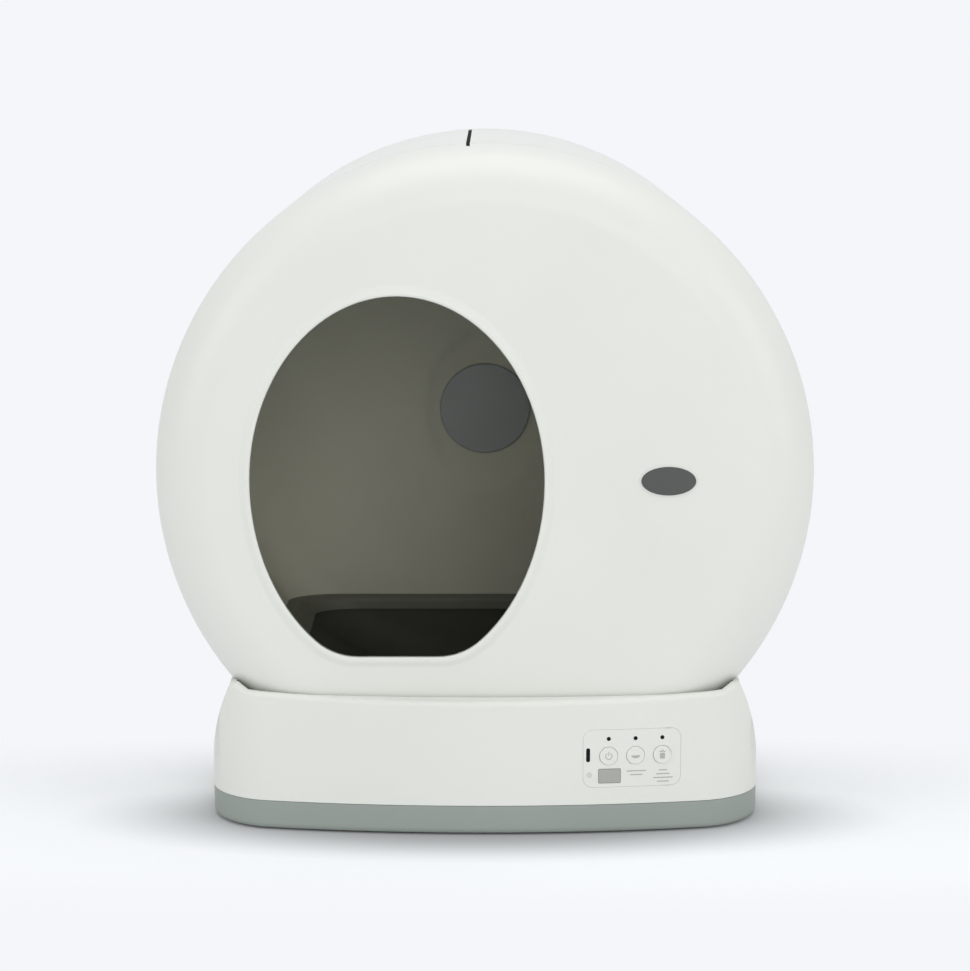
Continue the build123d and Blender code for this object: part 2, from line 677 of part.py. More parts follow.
def side_profile(inset, foot):
    """Front view of the base in X and Z: upright sides that bend inwards, raised tips beside the deck."""
    half = BASE_HALF_WIDTH - inset + SIDE_SPARE
    bend = BASE_SIDE_BEND - inset
    tip = BASE_TIP_HEIGHT - inset
    deck = DECK_HEIGHT - inset

    def side_at(height):
        return half - bend + math.sqrt(bend**2 - (height - BASE_BEND_HEIGHT) ** 2)

    mid = (BASE_BEND_HEIGHT + tip) / 2
    top = side_at(tip)
    tip_in = BASE_HALF_WIDTH - TIP_INSET + inset
    deck_end = tip_in - TIP_RAMP
    deck_mid = (deck_end / 2, deck + DECK_END_RISE / 4)
    deck_line = ThreePointArc((0, deck), deck_mid, (deck_end, deck + DECK_END_RISE))
    right = (
        deck_line
        + Polyline((deck_end, deck + DECK_END_RISE), (tip_in, tip), (top, tip))
        + ThreePointArc((top, tip), (side_at(mid), mid), (half, BASE_BEND_HEIGHT))
        + Polyline((half, BASE_BEND_HEIGHT), (half, foot), (0, foot), (0, deck))
    )
    right = make_face(right)
    return right + mirror(right, Plane.YZ)


def base_form(inset, foot):
    """Outer form of the base above a height, drawn in by inset."""
    plan = extrude(Pos(0, 0, foot) * base_plan(inset), BASE_TIP_HEIGHT - foot)
    return plan & prism_y(side_profile(inset, foot), -BIG, BIG)


def tower_face(inset, foot):
    """Outline of the drive tower in X and Z: upright sides and a round top about the drum's axis."""
    half = TOWER_HALF_WIDTH - inset
    post = Pos(0, (AXIS_HEIGHT + foot) / 2) * Rectangle(half * 2, AXIS_HEIGHT - foot)
    return post + Pos(0, AXIS_HEIGHT) * Circle(half)


def cradle_form(gap, front_gap, rear):
    """The drum's form grown by a gap, which the cradle follows."""
    radius = DRUM_R + gap
    return on_axis(drum_form(radius, FACE_Y - front_gap, rear, FRONT_ROUND + front_gap, 0))


def panel_plane():
    """Plane of the control panel: tangent to the bowed front, looking outwards."""
    sweep = math.asin(PANEL_X / FRONT_BOW)
    y = FRONT_Y + FRONT_BOW - math.sqrt(FRONT_BOW**2 - PANEL_X**2)
    across = (math.cos(sweep), math.sin(sweep), 0)
    outwards = (math.sin(sweep), -math.cos(sweep), 0)
    return Plane(origin=(PANEL_X, y, PANEL_HEIGHT), x_dir=across, z_dir=outwards)


def on_panel(shape):
    """Place a shape that was drawn on the panel."""
    return panel_plane().location * shape


def post_places():
    """Places of the posts that join the two halves of the base."""
    return [(x, y) for x in (-POST_X, POST_X) for y in (-POST_Y, POST_Y)]


def deck_notch(grow, floor):
    """Space between the rim and the drum, which follows the rim's outline."""
    front = FACE_Y - DECK_NOTCH_GAP - grow
    half = DECK_NOTCH_HALF_WIDTH + grow
    notch = extrude(Pos(0, 0, floor) * base_plan(RIM_WIDTH - grow), BIG)
    return notch & box_between((-half, front, floor), (half, SEAM_Y, BIG))


def corner_wells(grow):
    """Deeper ends of the deck notch beside the drum's round."""
    half = DECK_NOTCH_HALF_WIDTH - WELL_WIDTH - grow
    middle = box_between((-half, -BIG, -BIG), (half, BIG, BIG))
    return deck_notch(grow, WELL_FLOOR - grow) - middle


def base_housing():
    foot = HOUSING_FOOT_Z
    body = base_form(0, foot)
    rim = [e for e in body.edges() if e.center().Z > DECK_HEIGHT - RIM_ROUND and e.center().Y < SEAM_Y]
    rim = [e for e in rim if e.bounding_box().size.X > RIM_ROUND]
    body = fillet(rim, RIM_ROUND)
    tower_back = TOWER_FRONT_Y + HOUSING_WALL
    around_drum = cradle_form(CRADLE_GAP + CRADLE_WALL, DECK_NOTCH_GAP + CRADLE_WALL, tower_back)
    hollow = base_form(HOUSING_WALL, foot - OVERRUN) - around_drum
    hollow -= deck_notch(CRADLE_WALL, DECK_NOTCH_FLOOR - CRADLE_WALL) + corner_wells(CRADLE_WALL)
    hollow -= box_between((-BIG, -BIG, SIDE_TOP_HEIGHT - HOUSING_WALL), (BIG, tower_back, BIG))
    for x, y in post_places():
        hollow -= upright(x, y, foot, SIDE_TOP_HEIGHT, POST_R)
    tower = prism_y(tower_face(0, foot), TOWER_FRONT_Y, REAR_Y)
    tower_hollow = prism_y(tower_face(HOUSING_WALL, foot - OVERRUN), tower_back, REAR_Y - HOUSING_WALL)
    housing = (body + tower) - hollow - tower_hollow
    housing -= cradle_form(CRADLE_GAP, DECK_NOTCH_GAP, TOWER_FRONT_Y)
    housing -= deck_notch(0, DECK_NOTCH_FLOOR) + corner_wells(0)
    housing -= box_between((-BIG, SEAM_Y - TONGUE_ROOT, SIDE_TOP_HEIGHT), (BIG, TOWER_FRONT_Y, BIG))
    housing -= prism_y(tower_face(0, COVER_FOOT), REAR_Y - COVER_FRONT, REAR_Y + OVERRUN)
    hole_r = RING_PITCH_R + GEAR_MODULE + TOWER_HOLE_GAP
    housing -= along_y(0, AXIS_HEIGHT, TOWER_FRONT_Y - OVERRUN, tower_back + OVERRUN, hole_r)
    for side, y in roller_places():
        housing -= roller_window(side, y)
    for x, y in post_places():
        housing -= upright(x, y, foot - OVERRUN, POST_TIP_Z + POST_TIP_GAP / 2, SCREW_R + SHAFT_FIT)
    spare = PANEL_SEAM * 2
    cut = RectangleRounded(PANEL_WIDTH + spare, PANEL_TALL + spare, PANEL_CORNER + PANEL_SEAM)
    housing -= on_panel(Pos(0, 0, -HOUSING_WALL - SEAM * 2) * extrude(cut, HOUSING_WALL + OVERRUN))
    inlet_front = REAR_Y - HOUSING_WALL - OVERRUN
    housing -= along_y(-INLET_X, INLET_HEIGHT, inlet_front, REAR_Y + OVERRUN, INLET_R + SHAFT_FIT)
    return one_solid(housing)


def roller_places():
    """X side and Y place of each roller."""
    front = SEAM_Y + FRONT_ROLLER_Y
    rear = DRUM_REAR_Y - REAR_ROUND - REAR_ROLLER_Y
    return [(side, y) for side in (-1, 1) for y in (front, rear)]


def roller_window(side, y):
    """Window in the cradle that lets a roller through."""
    reach = ROLLER_R + ROLLER_GAP + ROLLER_WINDOW_GAP
    window = Box(reach * 2, ROLLER_WIDTH + ROLLER_WINDOW_GAP * 2, ROLLER_R)
    place = Pos(side * ROLLER_X, y, ROLLER_Z) * Rot(0, -side * ROLLER_ANGLE, 0)
    return place * Pos(0, 0, ROLLER_WINDOW_RISE) * window


def base_bottom():
    plan = extrude(Pos(0, 0, BAND_CLEAR) * base_plan(0), BAND_HEIGHT - BAND_CLEAR)
    lower = plan.faces().sort_by(Axis.Z)[0]
    plan = fillet(lower.edges(), BAND_ROUND)
    hollow = extrude(Pos(0, 0, FLOOR_Z) * base_plan(HOUSING_WALL), BAND_HEIGHT)
    lower = hollow.faces().sort_by(Axis.Z)[0]
    hollow = fillet(lower.edges(), BAND_ROUND - HOUSING_WALL)
    bottom = plan - hollow
    for x, y in foot_places():
        bottom -= upright(x, y, 0, FLOOR_Z + OVERRUN, FOOT_STEM_R + FIT)
        bottom -= upright(x, y, 0, BAND_CLEAR + FOOT_RECESS, FOOT_R + FIT)
        pad = Pos(x, y, FLOOR_Z + SENSOR_PAD / 2) * Box(SENSOR_SIZE, SENSOR_SIZE, SENSOR_PAD)
        pad -= Pos(x, y, FLOOR_Z + SENSOR_PAD / 2) * Box(
            SENSOR_SIZE - SENSOR_PAD * 2, SENSOR_SIZE - SENSOR_PAD * 2, SENSOR_PAD
        )
        bottom += pad
    for x, y in post_places():
        bottom += upright(x, y, BAND_CLEAR, HOUSING_FOOT_Z, POST_R)
        bottom -= upright(x, y, 0, BAND_CLEAR + POST_HEAD, SCREW_HEAD_R + FIT)
        bottom -= upright(x, y, 0, BAND_HEIGHT + OVERRUN, SCREW_R + SHAFT_FIT)
    return one_solid(bottom)


def base_screws():
    solids = []
    for x, y in post_places():
        seat = BAND_CLEAR + POST_HEAD
        screw = upright(x, y, seat - SCREW_HEAD, seat, SCREW_HEAD_R)
        screw += upright(x, y, seat, POST_TIP_Z, SCREW_R)
        solids.append(screw)
    return Compound(children=solids)


def foot_places():
    """Places of the four feet."""
    reach = BASE_HALF_WIDTH - FOOT_SIDE_INSET
    rows = (FRONT_Y + FOOT_FRONT_INSET, REAR_Y - FOOT_REAR_INSET)
    return [(x, y) for x in (-reach, reach) for y in rows]


def rubber_feet():
    solids = []
    for x, y in foot_places():
        foot = upright(x, y, 0, BAND_CLEAR + FOOT_RECESS - FIT, FOOT_R)
        foot = chamfer(foot.edges().group_by(Axis.Z)[0], FOOT_EDGE)
        foot += upright(x, y, BAND_CLEAR, FLOOR_Z + SENSOR_PAD, FOOT_STEM_R)
        solids.append(foot)
    return Compound(children=solids)


def weight_sensors():
    z = FLOOR_Z + SENSOR_PAD + SENSOR_THICK / 2
    beam = Box(SENSOR_SIZE, SENSOR_SIZE, SENSOR_THICK)
    return Compound(children=[Pos(x, y, z) * beam for x, y in foot_places()])


def rear_cover():
    front = REAR_Y - COVER_FRONT + SEAM
    foot = COVER_FOOT + SEAM
    outer = prism_y(tower_face(0, foot), front, REAR_Y)
    outer = fillet(outer.edges().group_by(Axis.Y)[-1], COVER_EDGE)
    inner = prism_y(tower_face(HOUSING_WALL, foot + HOUSING_WALL), front - OVERRUN, REAR_Y - HOUSING_WALL)
    inner = fillet(inner.edges().group_by(Axis.Y)[-1], COVER_EDGE - HOUSING_WALL)
    cover = outer - inner
    for x, z in pillar_places():
        cover += along_y(x, z, FRAME_Y + FRAME_WALL, REAR_Y - HOUSING_WALL, PILLAR_R)
        cover -= along_y(x, z, FRAME_Y, REAR_Y + OVERRUN, SCREW_R + SHAFT_FIT)
        cover -= along_y(x, z, REAR_Y - HOUSING_WALL, REAR_Y + OVERRUN, SCREW_HEAD_R + FIT)
    return cover


def pillar_places():
    """Places of the pillars that hold the rear cover to the drive frame."""
    top = AXIS_HEIGHT + PILLAR_TOP_RISE
    return [(-PILLAR_X, PILLAR_LOW), (PILLAR_X, PILLAR_LOW), (-PILLAR_TOP_X, top), (PILLAR_TOP_X, top)]


def cover_screws():
    solids = []
    for x, z in pillar_places():
        seat = REAR_Y - HOUSING_WALL
        screw = along_y(x, z, seat, seat + SCREW_HEAD, SCREW_HEAD_R)
        screw += along_y(x, z, FRAME_Y, seat, SCREW_R)
        solids.append(screw)
    return Compound(children=solids)


# Drive

def drive_frame():
    top = AXIS_HEIGHT + FRAME_RISE
    outline = make_face(
        Polyline(
            (-FRAME_HALF_WIDTH, FLOOR_Z),
            (FRAME_HALF_WIDTH, FLOOR_Z),
            (FRAME_HALF_WIDTH, PINION_Z),
            (FRAME_RISE, top),
            (-FRAME_RISE, top),
            (-FRAME_HALF_WIDTH, PINION_Z),
            close=True,
        )
    )
    outline = fillet(outline.vertices().group_by(Axis.Y)[-1], FRAME_RISE / 2)
    frame = prism_y(outline, FRAME_Y, FRAME_Y + FRAME_WALL)
    frame += box_between(
        (-FRAME_HALF_WIDTH, FRAME_Y, FLOOR_Z),
        (FRAME_HALF_WIDTH, FRAME_Y + FRAME_FOOT, FLOOR_Z + FRAME_WALL),
    )
    frame -= along_y(0, AXIS_HEIGHT, FRAME_Y - OVERRUN, FRAME_Y + FRAME_WALL + OVERRUN, BEARING_R + SHAFT_FIT)
    frame -= along_y(0, PINION_Z, FRAME_Y - OVERRUN, FRAME_Y + FRAME_WALL + OVERRUN, OUTPUT_R * 2)
    for x, z in pillar_places():
        frame -= along_y(x, z, FRAME_Y - OVERRUN, FRAME_Y + FRAME_WALL + OVERRUN, SCREW_R + SHAFT_FIT)
    return frame


def axle_bearing():
    front = FRAME_Y - BEARING_FLANGE
    bearing = along_y(0, 0, front, FRAME_Y, BEARING_FLANGE_R)
    bearing += along_y(0, 0, front, front + BEARING_LENGTH, BEARING_R)
    bearing -= along_y(0, 0, front - OVERRUN, front + BEARING_LENGTH + OVERRUN, AXLE_R + SHAFT_FIT)
    return on_axis(bearing)


def gearbox():
    front = FRAME_Y + FRAME_WALL
    low = (-GEARBOX_WIDTH / 2, front, PINION_Z - GEARBOX_DROP)
    high = (GEARBOX_WIDTH / 2, front + GEARBOX_DEPTH, PINION_Z + GEARBOX_RISE)
    case = box_between(low, high)
    case = fillet(case.edges().filter_by(Axis.Y), GEARBOX_EDGE)
    case -= along_y(0, PINION_Z, front - OVERRUN, front + OUTPUT_INSERT + FIT, OUTPUT_R + SHAFT_FIT)
    return case


def gear_motor():
    y = FRAME_Y + FRAME_WALL + GEARBOX_DEPTH / 2
    top = PINION_Z - GEARBOX_DROP
    can = upright(0, y, top - MOTOR_LENGTH, top, MOTOR_R)
    can += upright(0, y, top - MOTOR_LENGTH - MOTOR_BOSS, top - MOTOR_LENGTH, MOTOR_BOSS_R)
    return can


# Cradle rollers

def roller(side, y):
    wheel = along_y(0, 0, -ROLLER_WIDTH / 2, ROLLER_WIDTH / 2, ROLLER_R)
    wheel = chamfer(wheel.edges(), ROLLER_EDGE)
    for end in (-1, 1):
        face = end * ROLLER_WIDTH / 2
        inner = face - end * ROLLER_RECESS
        low, high = sorted((inner, face + end * OVERRUN))
        groove = along_y(0, 0, low, high, ROLLER_R - ROLLER_RECESS * 2)
        wheel -= groove - along_y(0, 0, low, high, ROLLER_HUB_R)
    wheel -= along_y(0, 0, -ROLLER_WIDTH, ROLLER_WIDTH, ROLLER_PIN_R + SHAFT_FIT)
    return Pos(side * ROLLER_X, y, ROLLER_Z) * wheel


def roller_brackets():
    inner = ROLLER_WIDTH / 2 + BRACKET_SIDE_GAP
    solids = []
    for side, y in roller_places():
        x = side * ROLLER_X
        ear = Pos(x, ROLLER_Z) * Circle(BRACKET_EAR_R)
        rise = ROLLER_Z - FLOOR_Z
        ear += Pos(x, FLOOR_Z + rise / 2) * Rectangle(BRACKET_EAR_R * 2, rise)
        front = prism_y(ear, y - inner - BRACKET_WALL, y - inner)
        rear = prism_y(ear, y + inner, y + inner + BRACKET_WALL)
        foot = box_between(
            (x - BRACKET_EAR_R, y - inner - BRACKET_WALL - BRACKET_FOOT, FLOOR_Z),
            (x + BRACKET_EAR_R, y + inner + BRACKET_WALL + BRACKET_FOOT, FLOOR_Z + BRACKET_WALL),
        )
        bracket = front + rear + foot
        bracket -= along_y(x, ROLLER_Z, y - inner * 2, y + inner * 2, ROLLER_PIN_R + SHAFT_FIT)
        solids.append(bracket)
    return Compound(children=solids)


def roller_axles():
    reach = ROLLER_WIDTH / 2 + BRACKET_SIDE_GAP + BRACKET_WALL
    pin = along_y(0, 0, -reach, reach, ROLLER_PIN_R)
    return Compound(children=[Pos(side * ROLLER_X, y, ROLLER_Z) * pin for side, y in roller_places()])


# Control panel, drawn flat: X across, Y up, Z outwards from the base's front

def button_places():
    """Places of the buttons on the panel."""
    return [(BUTTON_SHIFT + i * BUTTON_PITCH, BUTTON_RISE) for i in (-1, 0, 1)]


def peg(x, y, low, high, radius):
    """A round bar that stands on the panel."""
    return Pos(x, y, (low + high) / 2) * Cylinder(radius, high - low)


def panel_fascia():
    front = -PANEL_SINK
    plate = RectangleRounded(PANEL_WIDTH, PANEL_TALL, PANEL_CORNER)
    fascia = Pos(0, 0, front - PANEL_THICK) * extrude(plate, PANEL_THICK)
    back = front - PANEL_THICK - OVERRUN
    for x, y in button_places():
        fascia -= peg(x, y, back, front + OVERRUN, BUTTON_R + FIT)
        fascia -= peg(x, y + LIGHT_RISE - BUTTON_RISE, back, front + OVERRUN, LIGHT_R + SHAFT_FIT)
    slot = RectangleRounded(
        SLOT_WINDOW_WIDTH + SHAFT_FIT * 2, SLOT_WINDOW_TALL + SHAFT_FIT * 2, SLOT_WINDOW_WIDTH / 2
    )
    slot = extrude(slot, OVERRUN * 2)
    slot = Pos(-SLOT_WINDOW_SHIFT, SLOT_WINDOW_RISE, front - PANEL_THICK - OVERRUN) * slot
    fascia -= slot
    for x, y in panel_posts():
        fascia += peg(x, y, -BOARD_DEPTH, front - PANEL_THICK, PANEL_POST_R)
    return on_panel(fascia)


def sensor_window():
    front = -PANEL_SINK
    pane = RectangleRounded(SLOT_WINDOW_WIDTH, SLOT_WINDOW_TALL, SLOT_WINDOW_WIDTH / 2 - SHAFT_FIT)
    pane = extrude(pane, PANEL_THICK)
    return on_panel(Pos(-SLOT_WINDOW_SHIFT, SLOT_WINDOW_RISE, front - PANEL_THICK) * pane)


def button(index):
    x, y = button_places()[index]
    back = -PANEL_SINK - PANEL_THICK
    cap = peg(x, y, back - FIT, BUTTON_PROUD, BUTTON_R)
    cap = chamfer(cap.edges().group_by(Axis.Z)[-1], BUTTON_PROUD / 2)
    cap += peg(x, y, back - FIT - BUTTON_FLANGE, back - FIT, BUTTON_R + BUTTON_FLANGE_LIP)
    switch_top = -BOARD_DEPTH + SWITCH_HEIGHT
    cap += peg(x, y, switch_top + BUTTON_TRAVEL + SHAFT_FIT, back - FIT, BUTTON_STEM_R)
    return on_panel(cap)


def light_pipes():
    back = -PANEL_SINK - PANEL_THICK
    solids = []
    for x, y in button_places():
        top = y + LIGHT_RISE - BUTTON_RISE
        pipe = peg(x, top, back, -PANEL_SINK, LIGHT_R)
        bar_low = top - LIGHT_BAR_DROP
        low_corner = (x - LIGHT_R, bar_low, back - LIGHT_BAR)
        pipe += box_between(low_corner, (x + LIGHT_R, top + LIGHT_R, back - SHAFT_FIT))
        solids.append(on_panel(pipe))
    return Compound(children=solids)


def panel_posts():
    """Places of the posts that hold the board behind the fascia."""
    reach = PANEL_WIDTH / 2 - PANEL_POST_INSET
    low = PANEL_POST_INSET - PANEL_BOARD_DROP
    return [(-reach, low), (reach, low), (0, low)]


def panel_board():
    half = PANEL_WIDTH / 2 - PANEL_POST_INSET / 2
    front = -BOARD_DEPTH
    board = box_between((-half, -PANEL_BOARD_DROP, front - BOARD_WALL), (half, PANEL_BOARD_TOP, front))
    lamp_y = PANEL_BOARD_TOP - LED_SIZE
    for place in button_places():
        board += Pos(place[0], lamp_y, front + LED_TALL / 2) * Box(LED_SIZE, LED_SIZE, LED_TALL)
    return on_panel(board)


def tact_switches():
    place = -BOARD_DEPTH + SWITCH_HEIGHT / 2
    body = Box(SWITCH_SIZE, SWITCH_SIZE, SWITCH_HEIGHT)
    return Compound(children=[on_panel(Pos(x, y, place) * body) for x, y in button_places()])


def presence_sensor():
    body = Box(PRESENCE_WIDTH, PRESENCE_TALL, PRESENCE_THICK)
    return on_panel(Pos(-SLOT_WINDOW_SHIFT + FIT, 0, -BOARD_DEPTH + PRESENCE_THICK / 2) * body)


# Electrical pieces in the tower and the base

def board_corners():
    """Places of the main board's standoffs."""
    dx = MAIN_BOARD_WIDTH / 2 - STANDOFF_INSET
    dz = MAIN_BOARD_TALL / 2 - STANDOFF_INSET
    return [(MAIN_BOARD_X + sx * dx, MAIN_BOARD_Z + sz * dz) for sx in (-1, 1) for sz in (-1, 1)]


def main_board():
    seat = FRAME_Y + FRAME_WALL + STANDOFF
    half = MAIN_BOARD_WIDTH / 2
    low = (MAIN_BOARD_X - half, seat, MAIN_BOARD_Z - MAIN_BOARD_TALL / 2)
    high = (MAIN_BOARD_X + half, seat + MAIN_BOARD_WALL, MAIN_BOARD_Z + MAIN_BOARD_TALL / 2)
    board = box_between(low, high)
    face = seat + MAIN_BOARD_WALL
    for step in (-1, 1):
        z = MAIN_BOARD_Z + step * CAPACITOR_TALL
        board += along_y(MAIN_BOARD_X, z, face, face + CAPACITOR_TALL, CAPACITOR_R)
    connector_low = (MAIN_BOARD_X - half / 2, face, low[2])
    connector_high = (MAIN_BOARD_X + half / 2, face + CONNECTOR_TALL, low[2] + CONNECTOR_TALL)
    return board + box_between(connector_low, connector_high)


def board_standoffs():
    low = FRAME_Y + FRAME_WALL
    return Compound(children=[along_y(x, z, low, low + STANDOFF, STANDOFF_R) for x, z in board_corners()])


def dc_inlet():
    wall = REAR_Y - HOUSING_WALL
    jack = along_y(-INLET_X, INLET_HEIGHT, REAR_Y - INLET_DEPTH, REAR_Y, INLET_R)
    jack += along_y(-INLET_X, INLET_HEIGHT, wall - INLET_NUT, wall, INLET_NUT_R)
    jack -= along_y(-INLET_X, INLET_HEIGHT, REAR_Y - INLET_DEPTH + INLET_NUT, REAR_Y + OVERRUN, INLET_BORE_R)
    jack += along_y(-INLET_X, INLET_HEIGHT, REAR_Y - INLET_DEPTH, REAR_Y - INLET_NUT, INLET_PIN_R)
    return jack


def home_magnet():
    return on_axis(along_y(MAGNET_ARM, 0, DRUM_REAR_Y, DRUM_REAR_Y + MAGNET_THICK, MAGNET_R))


def hall_sensor():
    front = TOWER_FRONT_Y + HOUSING_WALL
    low = (MAGNET_ARM - MAGNET_R, front, AXIS_HEIGHT - HALL_TALL / 2)
    high = (MAGNET_ARM + HALL_OVERLAP, front + HALL_THICK, AXIS_HEIGHT + HALL_TALL / 2)
    return box_between(low, high)


BUILDERS = {
    "drum_front_shell": drum_front_shell,
    "drum_body_shell": drum_body_shell,
    "drum_liner": drum_liner,
    "litter_tray": litter_tray,
    "sieve_panel": sieve_panel,
    "bin_shelf": bin_shelf,
    "hub_cap": hub_cap,
    "drum_axle": drum_axle,
    "axle_clip": axle_clip,
    "ring_gear": ring_gear,
    "ring_gear_screws": ring_gear_screws,
    "drive_pinion": drive_pinion,
    "output_shaft": output_shaft,
    "bin_cover": bin_cover,
    "waste_bin": waste_bin,
    "bin_magnets": bin_magnets,
    "keeper_plates": keeper_plates,
    "base_housing": base_housing,
    "base_bottom": base_bottom,
    "rubber_feet": rubber_feet,
    "weight_sensors": weight_sensors,
    "rear_cover": rear_cover,
    "drive_frame": drive_frame,
    "axle_bearing": axle_bearing,
    "gearbox": gearbox,
    "gear_motor": gear_motor,
    "roller_brackets": roller_brackets,
    "roller_axles": roller_axles,
    "panel_fascia": panel_fascia,
    "sensor_window": sensor_window,
    "light_pipes": light_pipes,
    "panel_board": panel_board,
    "tact_switches": tact_switches,
    "presence_sensor": presence_sensor,
    "main_board": main_board,
    "board_standoffs": board_standoffs,
    "dc_inlet": dc_inlet,
    "home_magnet": home_magnet,
    "hall_sensor": hall_sensor,
    "base_screws": base_screws,
    "cover_screws": cover_screws,
}

for name, builder in BUILDERS.items():
    save(builder(), name)
for index, name in enumerate(("left", "middle", "right")):
    save(button(index), "button_" + name)
for number, (side, y) in enumerate(roller_places()):
    save(roller(side, y), "roller_" + str(number + 1))
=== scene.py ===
import json
import math

import bmesh
import bpy
from mathutils import Matrix, Vector


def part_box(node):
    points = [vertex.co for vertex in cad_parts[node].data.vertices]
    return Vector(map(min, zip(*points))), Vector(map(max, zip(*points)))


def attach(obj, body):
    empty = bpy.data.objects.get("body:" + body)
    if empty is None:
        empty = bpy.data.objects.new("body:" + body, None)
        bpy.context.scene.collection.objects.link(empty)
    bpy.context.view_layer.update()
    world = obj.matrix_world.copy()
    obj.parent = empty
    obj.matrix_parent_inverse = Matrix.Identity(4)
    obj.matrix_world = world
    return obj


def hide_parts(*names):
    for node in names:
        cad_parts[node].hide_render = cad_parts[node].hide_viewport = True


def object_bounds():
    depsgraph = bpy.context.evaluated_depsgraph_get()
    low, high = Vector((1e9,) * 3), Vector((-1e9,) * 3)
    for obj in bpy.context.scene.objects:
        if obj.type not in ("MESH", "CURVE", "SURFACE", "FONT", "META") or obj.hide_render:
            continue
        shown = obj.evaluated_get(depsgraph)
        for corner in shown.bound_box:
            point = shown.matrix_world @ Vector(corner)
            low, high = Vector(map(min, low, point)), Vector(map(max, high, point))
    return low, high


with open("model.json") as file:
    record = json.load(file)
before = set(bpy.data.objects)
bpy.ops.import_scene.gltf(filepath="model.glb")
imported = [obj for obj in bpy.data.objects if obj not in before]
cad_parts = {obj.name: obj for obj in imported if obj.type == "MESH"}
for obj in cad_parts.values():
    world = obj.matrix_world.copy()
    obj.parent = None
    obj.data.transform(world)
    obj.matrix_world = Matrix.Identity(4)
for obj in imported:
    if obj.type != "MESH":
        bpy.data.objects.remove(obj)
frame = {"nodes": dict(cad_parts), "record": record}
CAD_LOW, CAD_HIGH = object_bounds()

# Self cleaning litter box: a white drum that turns in a low white base with a grey band.
# Metres, +Z up, front at -Y. The drum's axis runs front to back at AXIS_HEIGHT.

# The photograph's frame, in its own pixels
PHOTO_WIDTH = 970
PHOTO_HEIGHT = 971
FOCAL_PIXELS = 2714.7

# Camera, with its tilt in degrees
SENSOR_MM = 36.0
CAMERA_DISTANCE = 2.3657
CAMERA_HEIGHT = 0.6216
CAMERA_TILT = 9.16

# Skins: points closer than this are merged, and edges sharper than these degrees stay sharp
MERGE = 0.000002
SHARP_ANGLE = 32
BEADED_SHARP_ANGLE = 95

# The drum and its tray, as in the solids
AXIS_HEIGHT = 0.283
DRUM_R = 0.265
FRONT_ROUND = 0.048
OPENING_X = -0.0695
TRAY_LIP = 0.013
TRAY_LIP_SPARE = 0.00001

# The bead round the opening: its height and outer round in the solid, how far inwards the skin's softer
# slope starts and how wide it is, then what counts as touching and as turned sideways
BEAD_HEIGHT = 0.002
BEAD_ROUND = 0.0018
BEAD_INNER = 0.0020
BEAD_SLOPE = 0.0062
BEAD_CLOSE = 0.00001
BEAD_TURN = 0.05

# Badge plate on the drum's face
BADGE_X = 0.145
BADGE_RISE = 0.001
BADGE_WIDTH = 0.046
BADGE_TALL = 0.0255
BADGE_THICK = 0.0009
BADGE_RIM = 0.0013
BADGE_EDGE_SHARE = 0.4
BADGE_EDGE_STEPS = 3

# Dark strip laid in the slot at the top of the drum: a painted shadow in the gap
SHADOW_STRIP_X = -0.0134
SHADOW_STRIP_HALF_WIDTH = 0.0014
SHADOW_STRIP_THICK = 0.0012
SHADOW_STRIP_SINK = 0.0008
SHADOW_STRIP_TAB = 0.016
SHADOW_STRIP_TAB_RISE = 0.0001
SHADOW_STRIP_RAMP = 0.003
SHADOW_STRIP_MERGE = 0.000001
SHADOW_STRIP_STEPS_ACROSS = 4
SHADOW_STRIP_STEPS_ALONG = 160

# Control panel on the base's front, which bows with a radius of FRONT_BOW. A skin there is cut at every
# PANEL_PITCH, so that it can bend.
FRONT_BOW = 0.950
PANEL_X = 0.1175
PANEL_HEIGHT = 0.062
PANEL_SINK = 0.0001
PANEL_WIDTH = 0.079
PANEL_PITCH = 0.002
PANEL_CLOSE = 0.00002
BUTTON_SHIFT = 0.0027
BUTTON_PITCH = 0.0217
BUTTON_RISE = 0.002
BUTTON_PROUD = 0.0006

# Pictures on the buttons, with shares of ICON_SIZE and angles in degrees
PRINT_THICK = 0.00008
ICON_SIZE = 0.0036
ICON_LINE = 0.0007
RING_SHARE = 0.72
RING_START = 122
RING_END = 418
BAR_RISE_SHARE = 0.55
BOWL_DEPTH_SHARE = 0.62
BOWL_STEPS = 20
LID_WIDTH_SHARE = 1.5
LID_RISE_SHARE = 0.72
KNOB_WIDTH_SHARE = 0.5
KNOB_RISE_SHARE = 1.0
BIN_WIDTH_SHARE = 1.15
BIN_TALL_SHARE = 1.3
BIN_DROP_SHARE = 0.25

# A bar's thickness over the radius of its round ends
END_ROUND = 2.1

# Bare plate, rule lines and signal dot on the panel
PLATE_WIDTH = 0.0184
PLATE_TALL = 0.0121
PLATE_DROP = 0.0144
PLATE_CORNER = 0.0012
PLATE_EDGE = 0.0007
LINE_TALL = 0.0009
LINE_PITCH = 0.0031
LINES_DROP = 0.0108
LINE_WIDTHS = {"middle": (0.0160, 0.0100), "right": (0.0070, 0.0110, 0.0160, 0.0100)}
PRINT_SHIFT = 0.0008
SIGNAL_SHIFT = 0.0345
SIGNAL_DROP = 0.0134
SIGNAL_R = 0.0023
SIGNAL_STEPS = 32

